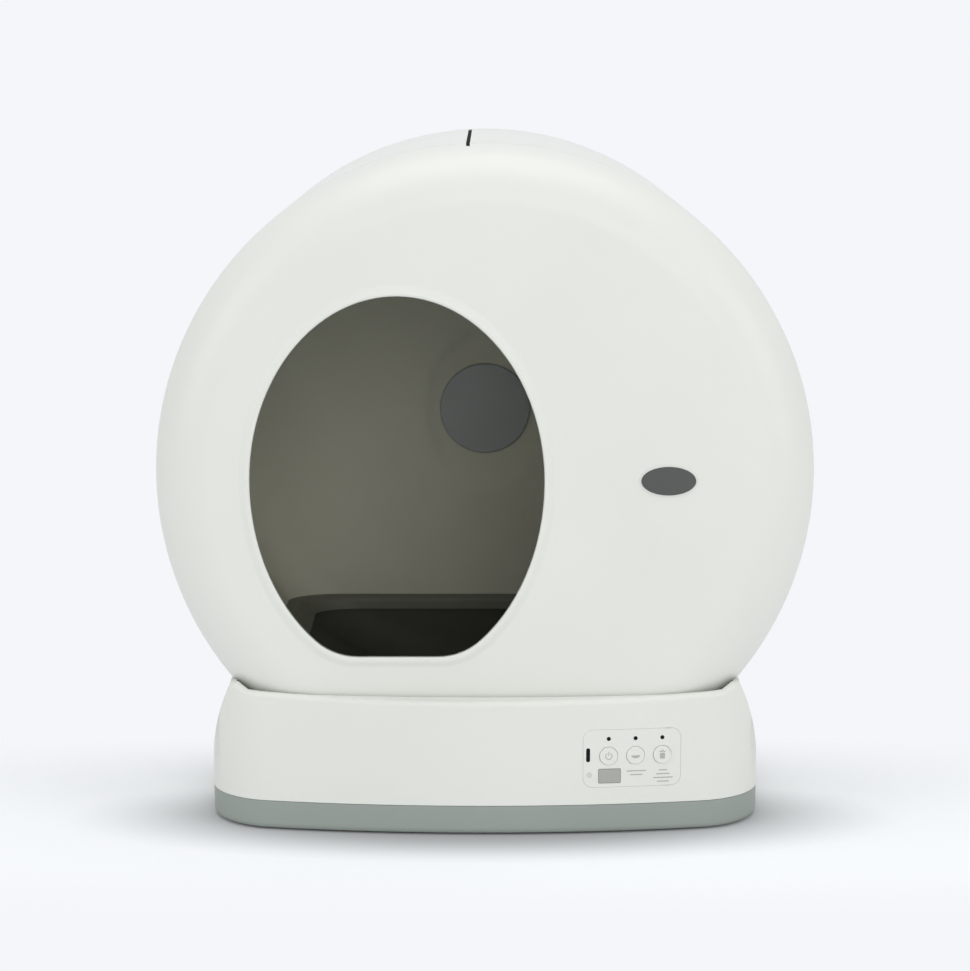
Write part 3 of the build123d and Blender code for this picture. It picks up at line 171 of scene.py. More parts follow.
# Colours, in linear light
WHITE_PLASTIC = (0.765, 0.780, 0.740)
BAND_GREY = (0.300, 0.335, 0.312)
LINER_GREY = (0.700, 0.700, 0.597)
SIEVE_GREY = (0.430, 0.430, 0.365)
HUB_GREY = (0.390, 0.420, 0.425)
TRAY_BLACK = (0.090, 0.090, 0.078)
# Painted highlight: the tray's lip lighter than the tray below it
TRAY_LIP_HIGHLIGHT_GREY = (0.200, 0.202, 0.170)
NYLON = (0.700, 0.690, 0.640)
FILLED_NYLON = (0.080, 0.080, 0.080)
STEEL = (0.600, 0.600, 0.590)
RUBBER = (0.045, 0.045, 0.045)
ALUMINIUM = (0.620, 0.630, 0.640)
BOARD_GREEN = (0.015, 0.120, 0.050)
SWITCH_BLACK = (0.025, 0.025, 0.025)
LENS_BLACK = (0.006, 0.006, 0.007)
# Painted shadow: the dark strip in the slot at the top of the drum
SLOT_SHADOW_BLACK = (0.008, 0.008, 0.008)
PRINT_GREY = (0.430, 0.440, 0.410)
PRINT_PALE = (0.620, 0.635, 0.595)
PLATE_GREY = (0.380, 0.392, 0.365)
PLATE_EDGE_GREY = (0.270, 0.280, 0.260)
BADGE_DARK = (0.070, 0.072, 0.069)
BADGE_LIGHT = (0.700, 0.710, 0.690)
BACKDROP = (0.904, 0.922, 0.956)
FLOOR = (0.850, 0.865, 0.895)
# Painted shade on the floor round the base's foot
PAINTED_FLOOR_SHADE = (0.475, 0.485, 0.500)

# Grain of a moulded surface: scale, depth in metres, strength
FINE_GRAIN = (900.0, 0.00004, 0.25)
COARSE_GRAIN = (700.0, 0.00008, 0.35)
TRAY_GRAIN = (600.0, 0.00008, 0.35)
POLISHED_GRAIN = (900.0, 0.00001, 0.05)

# Moulded plastics: colour, roughness, grain, how much the colour varies, specular level
PLASTICS = {
    "white_plastic": (WHITE_PLASTIC, 0.38, FINE_GRAIN, 0.012, 0.5),
    "white_plastic_base": (WHITE_PLASTIC, 0.42, FINE_GRAIN, 0.012, 0.5),
    "band_grey": (BAND_GREY, 0.45, FINE_GRAIN, 0.02, 0.5),
    "liner_grey": (LINER_GREY, 0.72, COARSE_GRAIN, 0.04, 0.35),
    "sieve_grey": (SIEVE_GREY, 0.50, COARSE_GRAIN, 0.03, 0.5),
    "hub_grey": (HUB_GREY, 0.40, FINE_GRAIN, 0.03, 0.5),
    "tray_black": (TRAY_BLACK, 0.70, TRAY_GRAIN, 0.08, 0.25),
    # Painted highlight on the tray's lip
    "tray_lip_painted_highlight": (TRAY_LIP_HIGHLIGHT_GREY, 0.60, TRAY_GRAIN, 0.05, 0.5),
    "nylon": (NYLON, 0.45, FINE_GRAIN, 0.02, 0.5),
    "filled_nylon": (FILLED_NYLON, 0.50, FINE_GRAIN, 0.10, 0.5),
    "switch_black": (SWITCH_BLACK, 0.40, FINE_GRAIN, 0.10, 0.5),
    "lens_black": (LENS_BLACK, 0.20, POLISHED_GRAIN, 0.10, 0.12),
    # Painted shadow in the drum's top slot
    "slot_shadow_black": (SLOT_SHADOW_BLACK, 0.90, FINE_GRAIN, 0.10, 0.1),
    "print_grey": (PRINT_GREY, 0.50, FINE_GRAIN, 0.04, 0.5),
    "print_pale": (PRINT_PALE, 0.50, FINE_GRAIN, 0.03, 0.5),
    "plate_grey": (PLATE_GREY, 0.42, FINE_GRAIN, 0.05, 0.5),
    "plate_edge": (PLATE_EDGE_GREY, 0.42, FINE_GRAIN, 0.04, 0.5),
    "badge_dark": (BADGE_DARK, 0.30, FINE_GRAIN, 0.06, 0.5),
    "badge_light": (BADGE_LIGHT, 0.28, FINE_GRAIN, 0.02, 0.5),
}
PLASTIC_IOR = 1.49
CLOUD_SCALE = 7.0
CLOUD_DETAIL = 2.0
GRAIN_DETAIL = 3.0
GLOSS_SCALE = 24.0
GLOSS_DETAIL = 4.0
GLOSS_LOW_SHARE = 0.92
GLOSS_HIGH_SHARE = 1.08

# Metals: colour, roughness, how the streaks are stretched
METALS = {
    "zinc_plated_steel": (STEEL, 0.34, (1, 0.04, 1)),
    "aluminium": (ALUMINIUM, 0.38, (0.05, 1, 1)),
}
STREAK_SCALE = 600.0
STREAK_SHARE = 0.10
STREAK_DEPTH = 0.00002
STREAK_STRENGTH = 0.3
STREAK_LOW_SHARE = 0.8
STREAK_HIGH_SHARE = 1.2

# Rubber
DUST_SCALE = 60.0
DUST_DETAIL = 5.0
DUST_SHARE = 0.25
RUBBER_GRAIN = (1500.0, 0.00005, 0.5)
RUBBER_PATCH_SCALE = 40.0
RUBBER_ROUGHNESS = (0.62, 0.85)

# Circuit board
TRACK_SCALE = 160.0
TRACK_LIGHT_SHARE = 1.3
TRACK_DARK_SHARE = 0.5
BOARD_ROUGHNESS = 0.3

# The part of a noise's range that is spread to a full factor
NOISE_LOW = 0.3
NOISE_HIGH = 0.7

# Which nodes have which finish
NODE_FINISHES = {
    "white_plastic": ("drum_front_shell", "drum_body_shell", "bin_cover"),
    "white_plastic_base": (
        "base_housing", "rear_cover", "panel_fascia", "button_left", "button_middle", "button_right"
    ),
    "band_grey": ("base_bottom",),
    "liner_grey": ("drum_liner",),
    "sieve_grey": ("sieve_panel", "bin_shelf", "waste_bin"),
    "tray_black": ("litter_tray",),
    "hub_grey": ("hub_cap",),
    "nylon": ("ring_gear", "drive_pinion", "board_standoffs"),
    "filled_nylon": ("axle_bearing", "gearbox", "roller_brackets"),
    "zinc_plated_steel": (
        "drum_axle", "axle_clip", "output_shaft", "drive_frame", "roller_axles", "keeper_plates",
        "ring_gear_screws", "base_screws", "cover_screws", "gear_motor", "home_magnet", "bin_magnets"
    ),
    "aluminium": ("weight_sensors",),
    "roller_tread": ("roller_1", "roller_2", "roller_3", "roller_4", "rubber_feet"),
    "board_green": ("panel_board", "main_board"),
    "switch_black": ("tact_switches", "presence_sensor", "hall_sensor", "dc_inlet"),
    "lens_black": ("light_pipes", "sensor_window"),
}

# Moulded shells that get a smooth skin, and those whose front follows the bow of the base
SKINNED = (
    "drum_body_shell", "bin_cover", "base_housing", "base_bottom", "rear_cover", "drum_liner",
    "litter_tray", "hub_cap", "button_left", "button_middle", "button_right"
)
FLUSH = ("panel_fascia", "light_pipes", "sensor_window")

# Floor, with its fade and a painted shade on ovals about the base's foot
FLOOR_RADIUS = 30.0
FLOOR_SIDES = 96
FLOOR_LIFT = 0.16
FADE_START = 0.36
FADE_END = 0.90
FADE_MIDDLE_Y = -0.215
FADE_SHARES = (0.66, 3.30, 1.0)
PAINTED_SHADE_START = 0.42
PAINTED_SHADE_END = 1.0
PAINTED_SHADE_SHARES = (2.80, 7.40, 1.0)

# Light: colours, then each lamp's place, aim, width, height, watts and colour
SKY_COLOUR = (1.0, 0.99, 0.955)
SKY_STRENGTH = 0.56
COOL_LIGHT = (0.90, 0.95, 1.0)
WARM_LIGHT = (1.0, 1.0, 0.98)
LAMPS = {
    "top_box": ((0, -0.35, 2.3), (0, -0.1, 0.3), 2.4, 1.6, 17.0, COOL_LIGHT),
    "front_box": ((0.35, -3.0, 0.95), (0, 0, 0.25), 1.8, 1.4, 15.5, WARM_LIGHT),
    "left_box": ((-2.0, -1.3, 1.0), (0, 0, 0.3), 1.2, 1.4, 7.0, WARM_LIGHT),
    "right_box": ((2.0, -1.3, 1.0), (0, 0, 0.3), 1.2, 1.4, 7.5, WARM_LIGHT),
}


# Materials

def add(material, kind, **values):
    """A new node of a kind, with its properties set."""
    node = material.node_tree.nodes.new(kind)
    for name, value in values.items():
        setattr(node, name, value)
    return node


def wire(material, start, end):
    """Join an output socket to an input socket."""
    material.node_tree.links.new(start, end)


def blank(name):
    """A node material with its shader, ready for its finish."""
    material = bpy.data.materials.new(name)
    material.use_nodes = True
    shader = material.node_tree.nodes["Principled BSDF"]
    return material, shader


def noise(material, scale, detail, stretch=(1, 1, 1)):
    """Noise that follows the piece, as a factor."""
    place = add(material, "ShaderNodeTexCoord")
    mapping = add(material, "ShaderNodeMapping")
    mapping.inputs["Scale"].default_value = stretch
    texture = add(material, "ShaderNodeTexNoise")
    texture.inputs["Scale"].default_value = scale
    texture.inputs["Detail"].default_value = detail
    wire(material, place.outputs["Object"], mapping.inputs["Vector"])
    wire(material, mapping.outputs["Vector"], texture.inputs["Vector"])
    return texture.outputs["Fac"]


def spread(material, factor, low, high):
    """Map a factor to a range."""
    change = add(material, "ShaderNodeMapRange")
    change.inputs["From Min"].default_value = NOISE_LOW
    change.inputs["From Max"].default_value = NOISE_HIGH
    change.inputs["To Min"].default_value = low
    change.inputs["To Max"].default_value = high
    wire(material, factor, change.inputs["Value"])
    return change.outputs["Result"]


def shaded(material, shader, colour, factor, share):
    """A base colour that varies a little, by share either way."""
    mix = add(material, "ShaderNodeMix", data_type="RGBA")
    low = [c * (1 - share) for c in colour]
    high = [c * (1 + share) for c in colour]
    mix.inputs["A"].default_value = (*low, 1)
    mix.inputs["B"].default_value = (*high, 1)
    wire(material, spread(material, factor, 0, 1), mix.inputs["Factor"])
    wire(material, mix.outputs["Result"], shader.inputs["Base Color"])


def bumped(material, shader, factor, depth, strength):
    """Fine relief in metres on the surface."""
    bump = add(material, "ShaderNodeBump")
    bump.inputs["Strength"].default_value = strength
    bump.inputs["Distance"].default_value = depth
    wire(material, factor, bump.inputs["Height"])
    wire(material, bump.outputs["Normal"], shader.inputs["Normal"])


def grained(material, shader, grain):
    """Relief from a grain's scale, depth and strength."""
    scale, depth, strength = grain
    bumped(material, shader, noise(material, scale, GRAIN_DETAIL), depth, strength)


def moulded(name, colour, roughness, grain, share, specular):
    """Moulded plastic: a faint cloud in its colour, a fine texture and a slightly uneven gloss."""
    material, shader = blank(name)
    shaded(material, shader, colour, noise(material, CLOUD_SCALE, CLOUD_DETAIL), share)
    grained(material, shader, grain)
    uneven = noise(material, GLOSS_SCALE, GLOSS_DETAIL)
    gloss = spread(material, uneven, roughness * GLOSS_LOW_SHARE, roughness * GLOSS_HIGH_SHARE)
    wire(material, gloss, shader.inputs["Roughness"])
    shader.inputs["IOR"].default_value = PLASTIC_IOR
    shader.inputs["Specular IOR Level"].default_value = specular
    return material


def metal(name, colour, roughness, stretch):
    """Drawn or brushed metal with fine streaks."""
    material, shader = blank(name)
    shader.inputs["Metallic"].default_value = 1.0
    streak = noise(material, STREAK_SCALE, GRAIN_DETAIL, stretch)
    shaded(material, shader, colour, streak, STREAK_SHARE)
    bumped(material, shader, streak, STREAK_DEPTH, STREAK_STRENGTH)
    gloss = spread(material, streak, roughness * STREAK_LOW_SHARE, roughness * STREAK_HIGH_SHARE)
    wire(material, gloss, shader.inputs["Roughness"])
    return material


def rubber(name, colour):
    """Dull rubber with a dusty grain."""
    material, shader = blank(name)
    shaded(material, shader, colour, noise(material, DUST_SCALE, DUST_DETAIL), DUST_SHARE)
    grained(material, shader, RUBBER_GRAIN)
    patches = noise(material, RUBBER_PATCH_SCALE, GRAIN_DETAIL)
    wire(material, spread(material, patches, *RUBBER_ROUGHNESS), shader.inputs["Roughness"])
    return material


def board(name, colour):
    """Circuit board: solder mask with tracks under it."""
    material, shader = blank(name)
    place = add(material, "ShaderNodeTexCoord")
    tracks = add(material, "ShaderNodeTexBrick")
    tracks.inputs["Scale"].default_value = TRACK_SCALE
    tracks.inputs["Color1"].default_value = (*colour, 1)
    tracks.inputs["Color2"].default_value = (*[c * TRACK_LIGHT_SHARE for c in colour], 1)
    tracks.inputs["Mortar"].default_value = (*[c * TRACK_DARK_SHARE for c in colour], 1)
    wire(material, place.outputs["Object"], tracks.inputs["Vector"])
    wire(material, tracks.outputs["Color"], shader.inputs["Base Color"])
    shader.inputs["Roughness"].default_value = BOARD_ROUGHNESS
    return material


finishes = {name: moulded(name, *values) for name, values in PLASTICS.items()}
for name, values in METALS.items():
    finishes[name] = metal(name, *values)
finishes["roller_tread"] = rubber("roller_tread", RUBBER)
finishes["board_green"] = board("board_green", BOARD_GREEN)

FINISH_OF = {node: finishes[name] for name, nodes in NODE_FINISHES.items() for node in nodes}
for node, finish in FINISH_OF.items():
    mesh = frame["nodes"][node].data
    mesh.materials.clear()
    mesh.materials.append(finish)

NODE_BODIES = {node: body for body, nodes in frame["record"]["behaviour"]["bodies"].items() for node in nodes}


# Pieces

def piece(name, mesh, material, body):
    """A finished mesh as an object at the origin that moves with a body."""
    item = bpy.data.objects.new(name, mesh)
    bpy.context.scene.collection.objects.link(item)
    mesh.materials.clear()
    mesh.materials.append(material)
    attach(item, body)
    return item


def skin(node, sharp_angle):
    """A smooth-shaded skin of a moulded shell, which stands for its solid."""
    mesh = frame["nodes"][node].data.copy()
    form = bmesh.new()
    form.from_mesh(mesh)
    bmesh.ops.remove_doubles(form, verts=form.verts, dist=MERGE)
    limit = math.radians(sharp_angle)
    for edge in form.edges:
        edge.smooth = len(edge.link_faces) == 2 and edge.calc_face_angle(0) < limit
    for face in form.faces:
        face.smooth = True
    form.to_mesh(mesh)
    form.free()
    if "custom_normal" in mesh.attributes:
        mesh.attributes.remove(mesh.attributes["custom_normal"])
    item = piece(node + "_skin", mesh, FINISH_OF[node], NODE_BODIES[node])
    weigh = item.modifiers.new("weigh", "WEIGHTED_NORMAL")
    weigh.keep_sharp = True
    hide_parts(node)
    return item


def prism(outlines, thick):
    """Flat outlines pushed along +Z from 0 to a thickness. Each outline is a list of points in X and Y."""
    form = bmesh.new()
    for outline in outlines:
        ring = [form.verts.new((x, y, 0)) for x, y in outline]
        form.faces.new(ring)
    pushed = bmesh.ops.extrude_face_region(form, geom=form.faces[:])
    top = [v for v in pushed["geom"] if isinstance(v, bmesh.types.BMVert)]
    bmesh.ops.translate(form, verts=top, vec=(0, 0, thick))
    bmesh.ops.recalc_face_normals(form, faces=form.faces)
    return form


def rounded(width, tall, corner, steps=6):
    """Outline of a rectangle with round corners, about its middle."""
    points = []
    for turn, (sx, sy) in enumerate(((1, 1), (-1, 1), (-1, -1), (1, -1))):
        for step in range(steps + 1):
            angle = math.radians(90 * (turn + step / steps))
            x = sx * (width / 2 - corner) + corner * math.cos(angle)
            y = sy * (tall / 2 - corner) + corner * math.sin(angle)
            points.append((x, y))
    return points


def oval(width, tall, steps=72):
    """Outline of an ellipse about its middle."""
    angles = [2 * math.pi * i / steps for i in range(steps)]
    return [(width / 2 * math.cos(a), tall / 2 * math.sin(a)) for a in angles]


def shifted(outline, dx, dy):
    """An outline moved across its plane."""
    return [(x + dx, y + dy) for x, y in outline]


def arc_band(radius, width, first, last, steps=28):
    """Outline of a curved bar between two angles in degrees."""
    angles = [math.radians(first + (last - first) * i / steps) for i in range(steps + 1)]
    far = radius + width / 2
    near = radius - width / 2
    outer = [(far * math.cos(a), far * math.sin(a)) for a in angles]
    inner = [(near * math.cos(a), near * math.sin(a)) for a in reversed(angles)]
    return outer + inner


def settle(form, place, name):
    """Put a form in its place and give its mesh."""
    bmesh.ops.transform(form, matrix=place, verts=form.verts)
    mesh = bpy.data.meshes.new(name)
    form.to_mesh(mesh)
    form.free()
    return mesh


def panel_place(across, rise, out):
    """Place on the control panel: X across, Y up, Z outwards."""
    sweep = math.asin(PANEL_X / FRONT_BOW)
    front = CAD_LOW.y + FRONT_BOW - math.sqrt(FRONT_BOW**2 - PANEL_X**2)
    side = Vector((math.cos(sweep), math.sin(sweep), 0))
    outwards = Vector((math.sin(sweep), -math.cos(sweep), 0))
    up = Vector((0, 0, 1))
    turn = Matrix((side, up, outwards)).transposed().to_4x4()
    spot = Vector((PANEL_X, front, PANEL_HEIGHT)) + side * across + up * rise + outwards * out
    return Matrix.Translation(spot) @ turn


def panel_sag(across):
    """How far the bowed front lies behind the panel's flat plane, at a place across it."""
    return FRONT_BOW - math.sqrt(FRONT_BOW**2 - across**2)


def bowed(item):
    """Let the front of a skin on the panel follow the bow of the base's front."""
    place = panel_place(0, 0, 0)
    form = bmesh.new()
    form.from_mesh(item.data)
    bmesh.ops.transform(form, matrix=place.inverted(), verts=form.verts)
    for step in range(round(PANEL_WIDTH / PANEL_PITCH) + 1):
        cut = (step * PANEL_PITCH - PANEL_WIDTH / 2, 0, 0)
        parts = form.verts[:] + form.edges[:] + form.faces[:]
        bmesh.ops.bisect_plane(form, geom=parts, dist=PANEL_CLOSE, plane_co=cut, plane_no=(1, 0, 0))
    for vert in form.verts:
        if vert.co.z > -PANEL_SINK - PANEL_CLOSE:
            vert.co.z -= panel_sag(vert.co.x)
    bmesh.ops.transform(form, matrix=place, verts=form.verts)
    form.to_mesh(item.data)
    form.free()


def face_place(x, rise):
    """Place on the drum's flat face: X across, Y up, Z outwards."""
    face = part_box("drum_front_shell")[0].y + BEAD_HEIGHT
    turn = Matrix(((1, 0, 0), (0, 0, -1), (0, 1, 0))).to_4x4()
    return Matrix.Translation((x, face, AXIS_HEIGHT + rise)) @ turn


def face_badge():
    """Bare oval plate with a light rounded rim and a dark field."""
    rim = prism([oval(BADGE_WIDTH, BADGE_TALL)], BADGE_THICK)
    edges = [e for e in rim.edges if all(v.co.z > BADGE_THICK / 2 for v in e.verts)]
    bmesh.ops.bevel(
        rim, geom=edges, offset=BADGE_THICK * BADGE_EDGE_SHARE, segments=BADGE_EDGE_STEPS,
        profile=0.5, affect="EDGES", material=-1
    )
    mesh = settle(rim, face_place(BADGE_X, BADGE_RISE), "badge_rim")
    piece("badge_rim", mesh, finishes["badge_light"], "drum")
    field = prism([oval(BADGE_WIDTH - BADGE_RIM * 2, BADGE_TALL - BADGE_RIM * 2)], PRINT_THICK * 2)
    place = face_place(BADGE_X, BADGE_RISE) @ Matrix.Translation((0, 0, BADGE_THICK - PRINT_THICK))
    mesh = settle(field, place, "badge_field")
    piece("badge_field", mesh, finishes["badge_dark"], "drum")


def drum_top(x, y, front):
    """Height of the drum's outside above a place, with its front edge rounded before the seam."""
    radius = DRUM_R
    if y < front:
        radius += math.sqrt(FRONT_ROUND**2 - (front - y) ** 2) - FRONT_ROUND
    return AXIS_HEIGHT + math.sqrt(radius**2 - x**2)


def slot_painted_shadow():
    """Dark strip in the slot beside the bin's cover, a painted shadow in the gap, with a round tab over the
    front shell's edge.
    """
    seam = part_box("drum_body_shell")[0].y
    first = seam - SHADOW_STRIP_TAB
    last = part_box("bin_cover")[1].y
    form = bmesh.new()
    bmesh.ops.create_grid(form, x_segments=SHADOW_STRIP_STEPS_ACROSS, y_segments=SHADOW_STRIP_STEPS_ALONG, size=1)
    for vert in form.verts:
        way = (vert.co.y + 1) / 2
        # Rows lie closer together at the tab, whose end is round
        y = first + (last - first) * way**2
        left = min(y - first, SHADOW_STRIP_HALF_WIDTH)
        half = math.sqrt(SHADOW_STRIP_HALF_WIDTH**2 - (SHADOW_STRIP_HALF_WIDTH - left) ** 2)
        x = SHADOW_STRIP_X + vert.co.x * half
        ramp = min(max((y - seam) / SHADOW_STRIP_RAMP, 0), 1)
        rise = SHADOW_STRIP_TAB_RISE * (1 - ramp) - SHADOW_STRIP_SINK * ramp
        vert.co = (x, y, drum_top(x, y, seam) + rise)
    bmesh.ops.remove_doubles(form, verts=form.verts, dist=SHADOW_STRIP_MERGE)
    bmesh.ops.solidify(form, geom=form.faces[:], thickness=SHADOW_STRIP_THICK)
    bmesh.ops.recalc_face_normals(form, faces=form.faces)
    mesh = bpy.data.meshes.new("slot_painted_shadow")
    form.to_mesh(mesh)
    form.free()
    piece("slot_painted_shadow", mesh, finishes["slot_shadow_black"], "drum")


def bar(width, tall, dx, dy):
    """Outline of a bar with round ends, moved across its plane."""
    return shifted(rounded(width, tall, min(width, tall) / END_ROUND), dx, dy)


def power_icon():
    """Ring with a gap at the top and a bar in the gap."""
    ring = arc_band(ICON_SIZE * RING_SHARE, ICON_LINE, RING_START, RING_END)
    return [ring, bar(ICON_LINE, ICON_SIZE, 0, ICON_SIZE * BAR_RISE_SHARE)]


def level_icon():
    """Bowl seen from the side, filled below its rim."""
    angles = [math.radians(180 + 180 * i / BOWL_STEPS) for i in range(BOWL_STEPS + 1)]
    return [[(ICON_SIZE * math.cos(a), ICON_SIZE * BOWL_DEPTH_SHARE * math.sin(a)) for a in angles]]


def bin_icon():
    """Bin with its lid."""
    lid = bar(ICON_SIZE * LID_WIDTH_SHARE, ICON_LINE, 0, ICON_SIZE * LID_RISE_SHARE)
    knob = bar(ICON_SIZE * KNOB_WIDTH_SHARE, ICON_LINE, 0, ICON_SIZE * KNOB_RISE_SHARE)
    can = rounded(ICON_SIZE * BIN_WIDTH_SHARE, ICON_SIZE * BIN_TALL_SHARE, ICON_LINE)
    return [lid, knob, shifted(can, 0, -ICON_SIZE * BIN_DROP_SHARE)]


def button_icons():
    """A plain picture on each button, which moves with it."""
    icons = {"left": power_icon(), "middle": level_icon(), "right": bin_icon()}
    for index, (name, outlines) in enumerate(icons.items()):
        across = BUTTON_SHIFT + (index - 1) * BUTTON_PITCH
        place = panel_place(across, BUTTON_RISE, BUTTON_PROUD)
        mesh = settle(prism(outlines, PRINT_THICK), place, "icon_" + name)
        piece("icon_" + name, mesh, finishes["print_grey"], "button_" + name)


def printed(name, outlines, across, rise, out, finish):
    """A print on the panel's bowed front."""
    form = prism(outlines, PRINT_THICK)
    for vert in form.verts:
        vert.co.z -= panel_sag(vert.co.x + across)
    mesh = settle(form, panel_place(across, rise, out), name)
    piece(name, mesh, finishes[finish], "base")


def panel_prints():
    """Bare label plate under the first button, plain rule lines under the others and a pale dot."""
    out = -PANEL_SINK
    across = BUTTON_SHIFT - BUTTON_PITCH + PRINT_SHIFT
    edge = rounded(PLATE_WIDTH, PLATE_TALL, PLATE_CORNER)
    printed("label_edge", [edge], across, -PLATE_DROP, out, "plate_edge")
    inner = rounded(PLATE_WIDTH - PLATE_EDGE * 2, PLATE_TALL - PLATE_EDGE * 2, PLATE_CORNER - PLATE_EDGE / 2)
    printed("label_plate", [inner], across, -PLATE_DROP, out + PRINT_THICK / 2, "plate_grey")
    for index, (name, widths) in enumerate(LINE_WIDTHS.items()):
        lines = [bar(width, LINE_TALL, 0, -row * LINE_PITCH) for row, width in enumerate(widths)]
        across = BUTTON_SHIFT + index * BUTTON_PITCH + PRINT_SHIFT
        printed("rule_lines_" + name, lines, across, -LINES_DROP, out, "print_grey")
    dot = oval(SIGNAL_R * 2, SIGNAL_R * 2, SIGNAL_STEPS)
    printed("signal_dot", [dot], -SIGNAL_SHIFT, -SIGNAL_DROP, out, "print_pale")


def bead_shift(depth):
    """How far outwards a point on the bead's outer side goes, so that its round becomes a soft slope."""
    inside = max(1 - depth / BEAD_ROUND, 0)
    old = BEAD_ROUND * math.sqrt(1 - inside**2)
    way = min(max(depth / BEAD_HEIGHT, 0), 1)
    # A soft step read backwards: how far across the slope lies at this share of its height
    new = BEAD_SLOPE * (0.5 - math.sin(math.asin(1 - 2 * way) / 3))
    return new - old - BEAD_INNER


def soft_bead():
    """The bead round the opening falls off softly to the face."""
    mesh = bpy.data.objects["drum_front_shell_skin"].data
    form = bmesh.new()
    form.from_mesh(mesh)
    form.normal_update()
    top = min(v.co.y for v in form.verts)
    middle = Vector((OPENING_X, 0, AXIS_HEIGHT))
    moves = []
    # Points behind the face stay, and so do the points of the face that don't touch the bead
    for vert in form.verts:
        depth = vert.co.y - top
        if depth > BEAD_HEIGHT + BEAD_CLOSE:
            continue
        near = min(edge.other_vert(vert).co.y for edge in vert.link_edges) - top
        if min(depth, near) > BEAD_HEIGHT - BEAD_CLOSE:
            continue
        across = vert.co - middle
        across.y = 0
        side = Vector((0, 0, 0))
        for face in vert.link_faces:
            flat = Vector((face.normal.x, 0, face.normal.z))
            if flat.length > BEAD_TURN and flat.dot(across) > 0:
                side += flat.normalized()
        if side.length > BEAD_TURN:
            moves.append((vert, side.normalized() * bead_shift(depth)))
    for vert, move in moves:
        vert.co += move
    form.to_mesh(mesh)
    form.free()


def lip_painted_highlight():
    """The tray's lip band in a lighter grey, a painted highlight where the rounded lip catches the light."""
    mesh = bpy.data.objects["litter_tray_skin"].data
    mesh.materials.append(finishes["tray_lip_painted_highlight"])
    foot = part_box("litter_tray")[1].z - TRAY_LIP
    for face in mesh.polygons:
        if all(mesh.vertices[v].co.z > foot - TRAY_LIP_SPARE for v in face.vertices):
            face.material_index = 1


skin("drum_front_shell", BEADED_SHARP_ANGLE)
for shell in SKINNED:
    skin(shell, SHARP_ANGLE)
for shell in FLUSH:
    bowed(skin(shell, SHARP_ANGLE))
soft_bead()
# Painted highlight on the tray's lip band
lip_painted_highlight()
face_badge()
# Painted shadow: a dark strip in the slot on the drum's top
slot_painted_shadow()
button_icons()
panel_prints()


# Stage, camera and light

def shown_rays(material):
    """A factor that is 1 for the rays that show the backdrop: camera, glossy and transmission rays."""
    path = add(material, "ShaderNodeLightPath")
    seen = add(material, "ShaderNodeMath", operation="ADD", use_clamp=True)
    also = add(material, "ShaderNodeMath", operation="ADD", use_clamp=True)
    wire(material, path.outputs["Is Camera Ray"], seen.inputs[0])
    wire(material, path.outputs["Is Glossy Ray"], seen.inputs[1])
    wire(material, seen.outputs["Value"], also.inputs[0])
    wire(material, path.outputs["Is Transmission Ray"], also.inputs[1])
    return also.outputs["Value"]


def mixed(material, factor, first, second):
    """One shader mixed into another by a factor."""
    mix = add(material, "ShaderNodeMixShader")
    wire(material, factor, mix.inputs["Fac"])
    wire(material, first, mix.inputs[1])
    wire(material, second, mix.inputs[2])
    return mix.outputs["Shader"]


def glow(material, colour, strength):
    """A surface that shines evenly."""
    light = add(material, "ShaderNodeEmission")
    light.inputs["Color"].default_value = (*colour, 1)
    light.inputs["Strength"].default_value = strength
    return light.outputs["Emission"]


def oval_ramp(material, shares, start, end):
    """A factor that grows from 0 to 1 away from the base's foot, on an oval."""
    place = add(material, "ShaderNodeTexCoord")
    shape = add(material, "ShaderNodeMapping")
    shape.inputs["Location"].default_value = (0, -FADE_MIDDLE_Y * shares[1], 0)
    shape.inputs["Scale"].default_value = shares
    far = add(material, "ShaderNodeVectorMath", operation="LENGTH")
    ramp = add(material, "ShaderNodeMapRange", interpolation_type="SMOOTHSTEP")
    ramp.inputs["From Min"].default_value = start
    ramp.inputs["From Max"].default_value = end
    wire(material, place.outputs["Object"], shape.inputs["Vector"])
    wire(material, shape.outputs["Vector"], far.inputs[0])
    wire(material, far.outputs["Value"], ramp.inputs["Value"])
    return ramp.outputs["Result"]


def matt(material, colour):
    """A dull surface."""
    surface = add(material, "ShaderNodeBsdfDiffuse")
    surface.inputs["Color"].default_value = (*colour, 1)
    return surface.outputs["BSDF"]


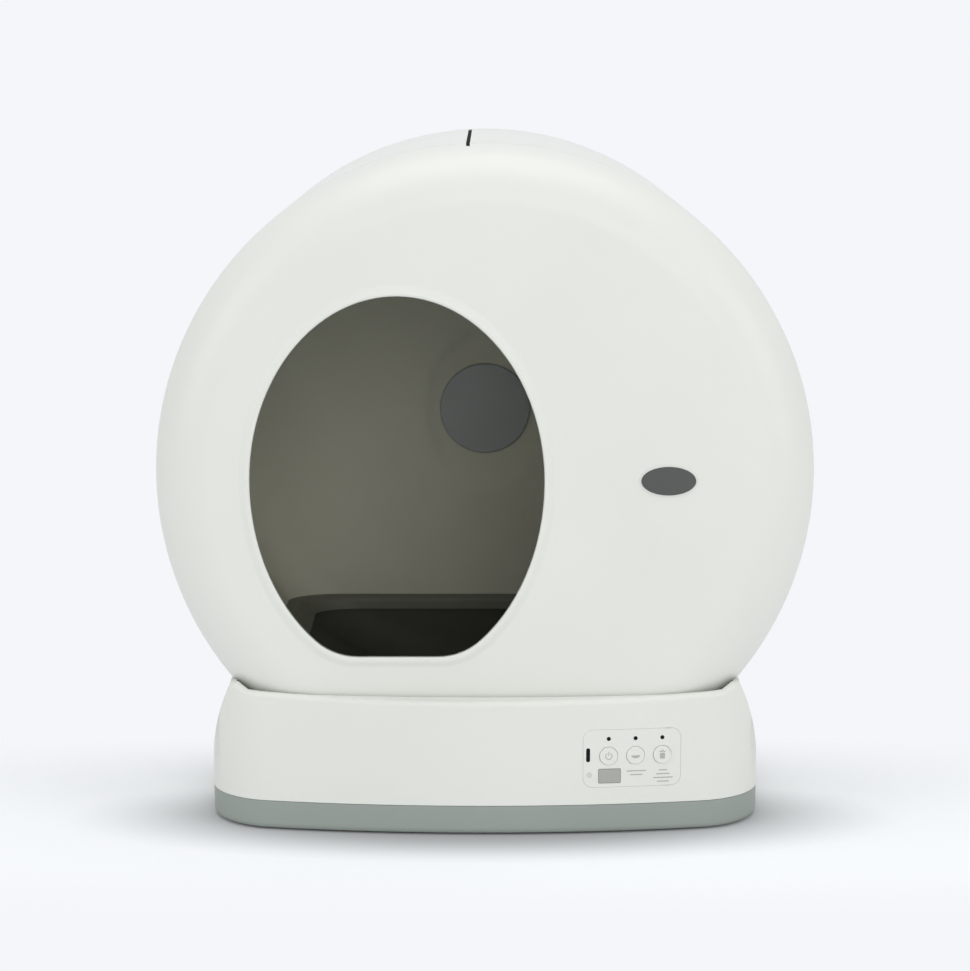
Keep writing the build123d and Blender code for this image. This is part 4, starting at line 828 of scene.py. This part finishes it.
def pale_floor():
    """Round pale floor that keeps the object's shadow, has a painted shade round its foot and fades into the
    backdrop.
    """
    form = bmesh.new()
    bmesh.ops.create_circle(form, cap_ends=True, cap_tris=False, segments=FLOOR_SIDES, radius=FLOOR_RADIUS)
    mesh = bpy.data.meshes.new("floor")
    form.to_mesh(mesh)
    form.free()
    material, shader = blank("floor")
    nodes = material.node_tree.nodes
    nodes.remove(shader)
    plain = matt(material, FLOOR)
    lifted = add(material, "ShaderNodeAddShader")
    wire(material, plain, lifted.inputs[0])
    wire(material, glow(material, BACKDROP, FLOOR_LIFT), lifted.inputs[1])
    # Painted shade: the shown floor is darker on an oval round the base's foot
    near = oval_ramp(material, PAINTED_SHADE_SHARES, PAINTED_SHADE_START, PAINTED_SHADE_END)
    foot = mixed(material, near, matt(material, PAINTED_FLOOR_SHADE), lifted.outputs["Shader"])
    far = oval_ramp(material, FADE_SHARES, FADE_START, FADE_END)
    view = mixed(material, far, foot, glow(material, BACKDROP, 1))
    surface = mixed(material, shown_rays(material), plain, view)
    wire(material, surface, nodes["Material Output"].inputs["Surface"])
    floor = bpy.data.objects.new("floor", mesh)
    bpy.context.scene.collection.objects.link(floor)
    mesh.materials.append(material)


def sky():
    """Even soft light from all round, with the pale backdrop for the camera and for reflections."""
    world = bpy.data.worlds.new("studio")
    bpy.context.scene.world = world
    world.use_nodes = True
    light = world.node_tree.nodes["Background"]
    light.inputs["Color"].default_value = (*SKY_COLOUR, 1)
    light.inputs["Strength"].default_value = SKY_STRENGTH
    shown = add(world, "ShaderNodeBackground")
    shown.inputs["Color"].default_value = (*BACKDROP, 1)
    surface = mixed(world, shown_rays(world), light.outputs["Background"], shown.outputs["Background"])
    wire(world, surface, world.node_tree.nodes["World Output"].inputs["Surface"])


def softbox(name, spot, aim, width, tall, watts, colour):
    """A soft rectangular lamp."""
    lamp = bpy.data.lights.new(name, "AREA")
    lamp.shape = "RECTANGLE"
    lamp.size = width
    lamp.size_y = tall
    lamp.energy = watts
    lamp.color = colour
    item = bpy.data.objects.new(name, lamp)
    bpy.context.scene.collection.objects.link(item)
    item.location = spot
    item.rotation_mode = "QUATERNION"
    item.rotation_quaternion = (Vector(aim) - Vector(spot)).to_track_quat("-Z", "Y")


def camera():
    """Camera before the object, tilted down, with the photograph's own framing."""
    lens = bpy.data.cameras.new("camera")
    lens.sensor_width = SENSOR_MM
    longest = max(PHOTO_WIDTH, PHOTO_HEIGHT)
    lens.lens = FOCAL_PIXELS / longest * SENSOR_MM
    item = bpy.data.objects.new("camera", lens)
    bpy.context.scene.collection.objects.link(item)
    item.location = (0, -CAMERA_DISTANCE, CAMERA_HEIGHT)
    item.rotation_euler = (math.radians(90 - CAMERA_TILT), 0, 0)
    bpy.context.scene.camera = item


pale_floor()
sky()
for name, values in LAMPS.items():
    softbox(name, *values)
camera()
bpy.context.scene.view_settings.view_transform = "Standard"

bpy.context.view_layer.update()
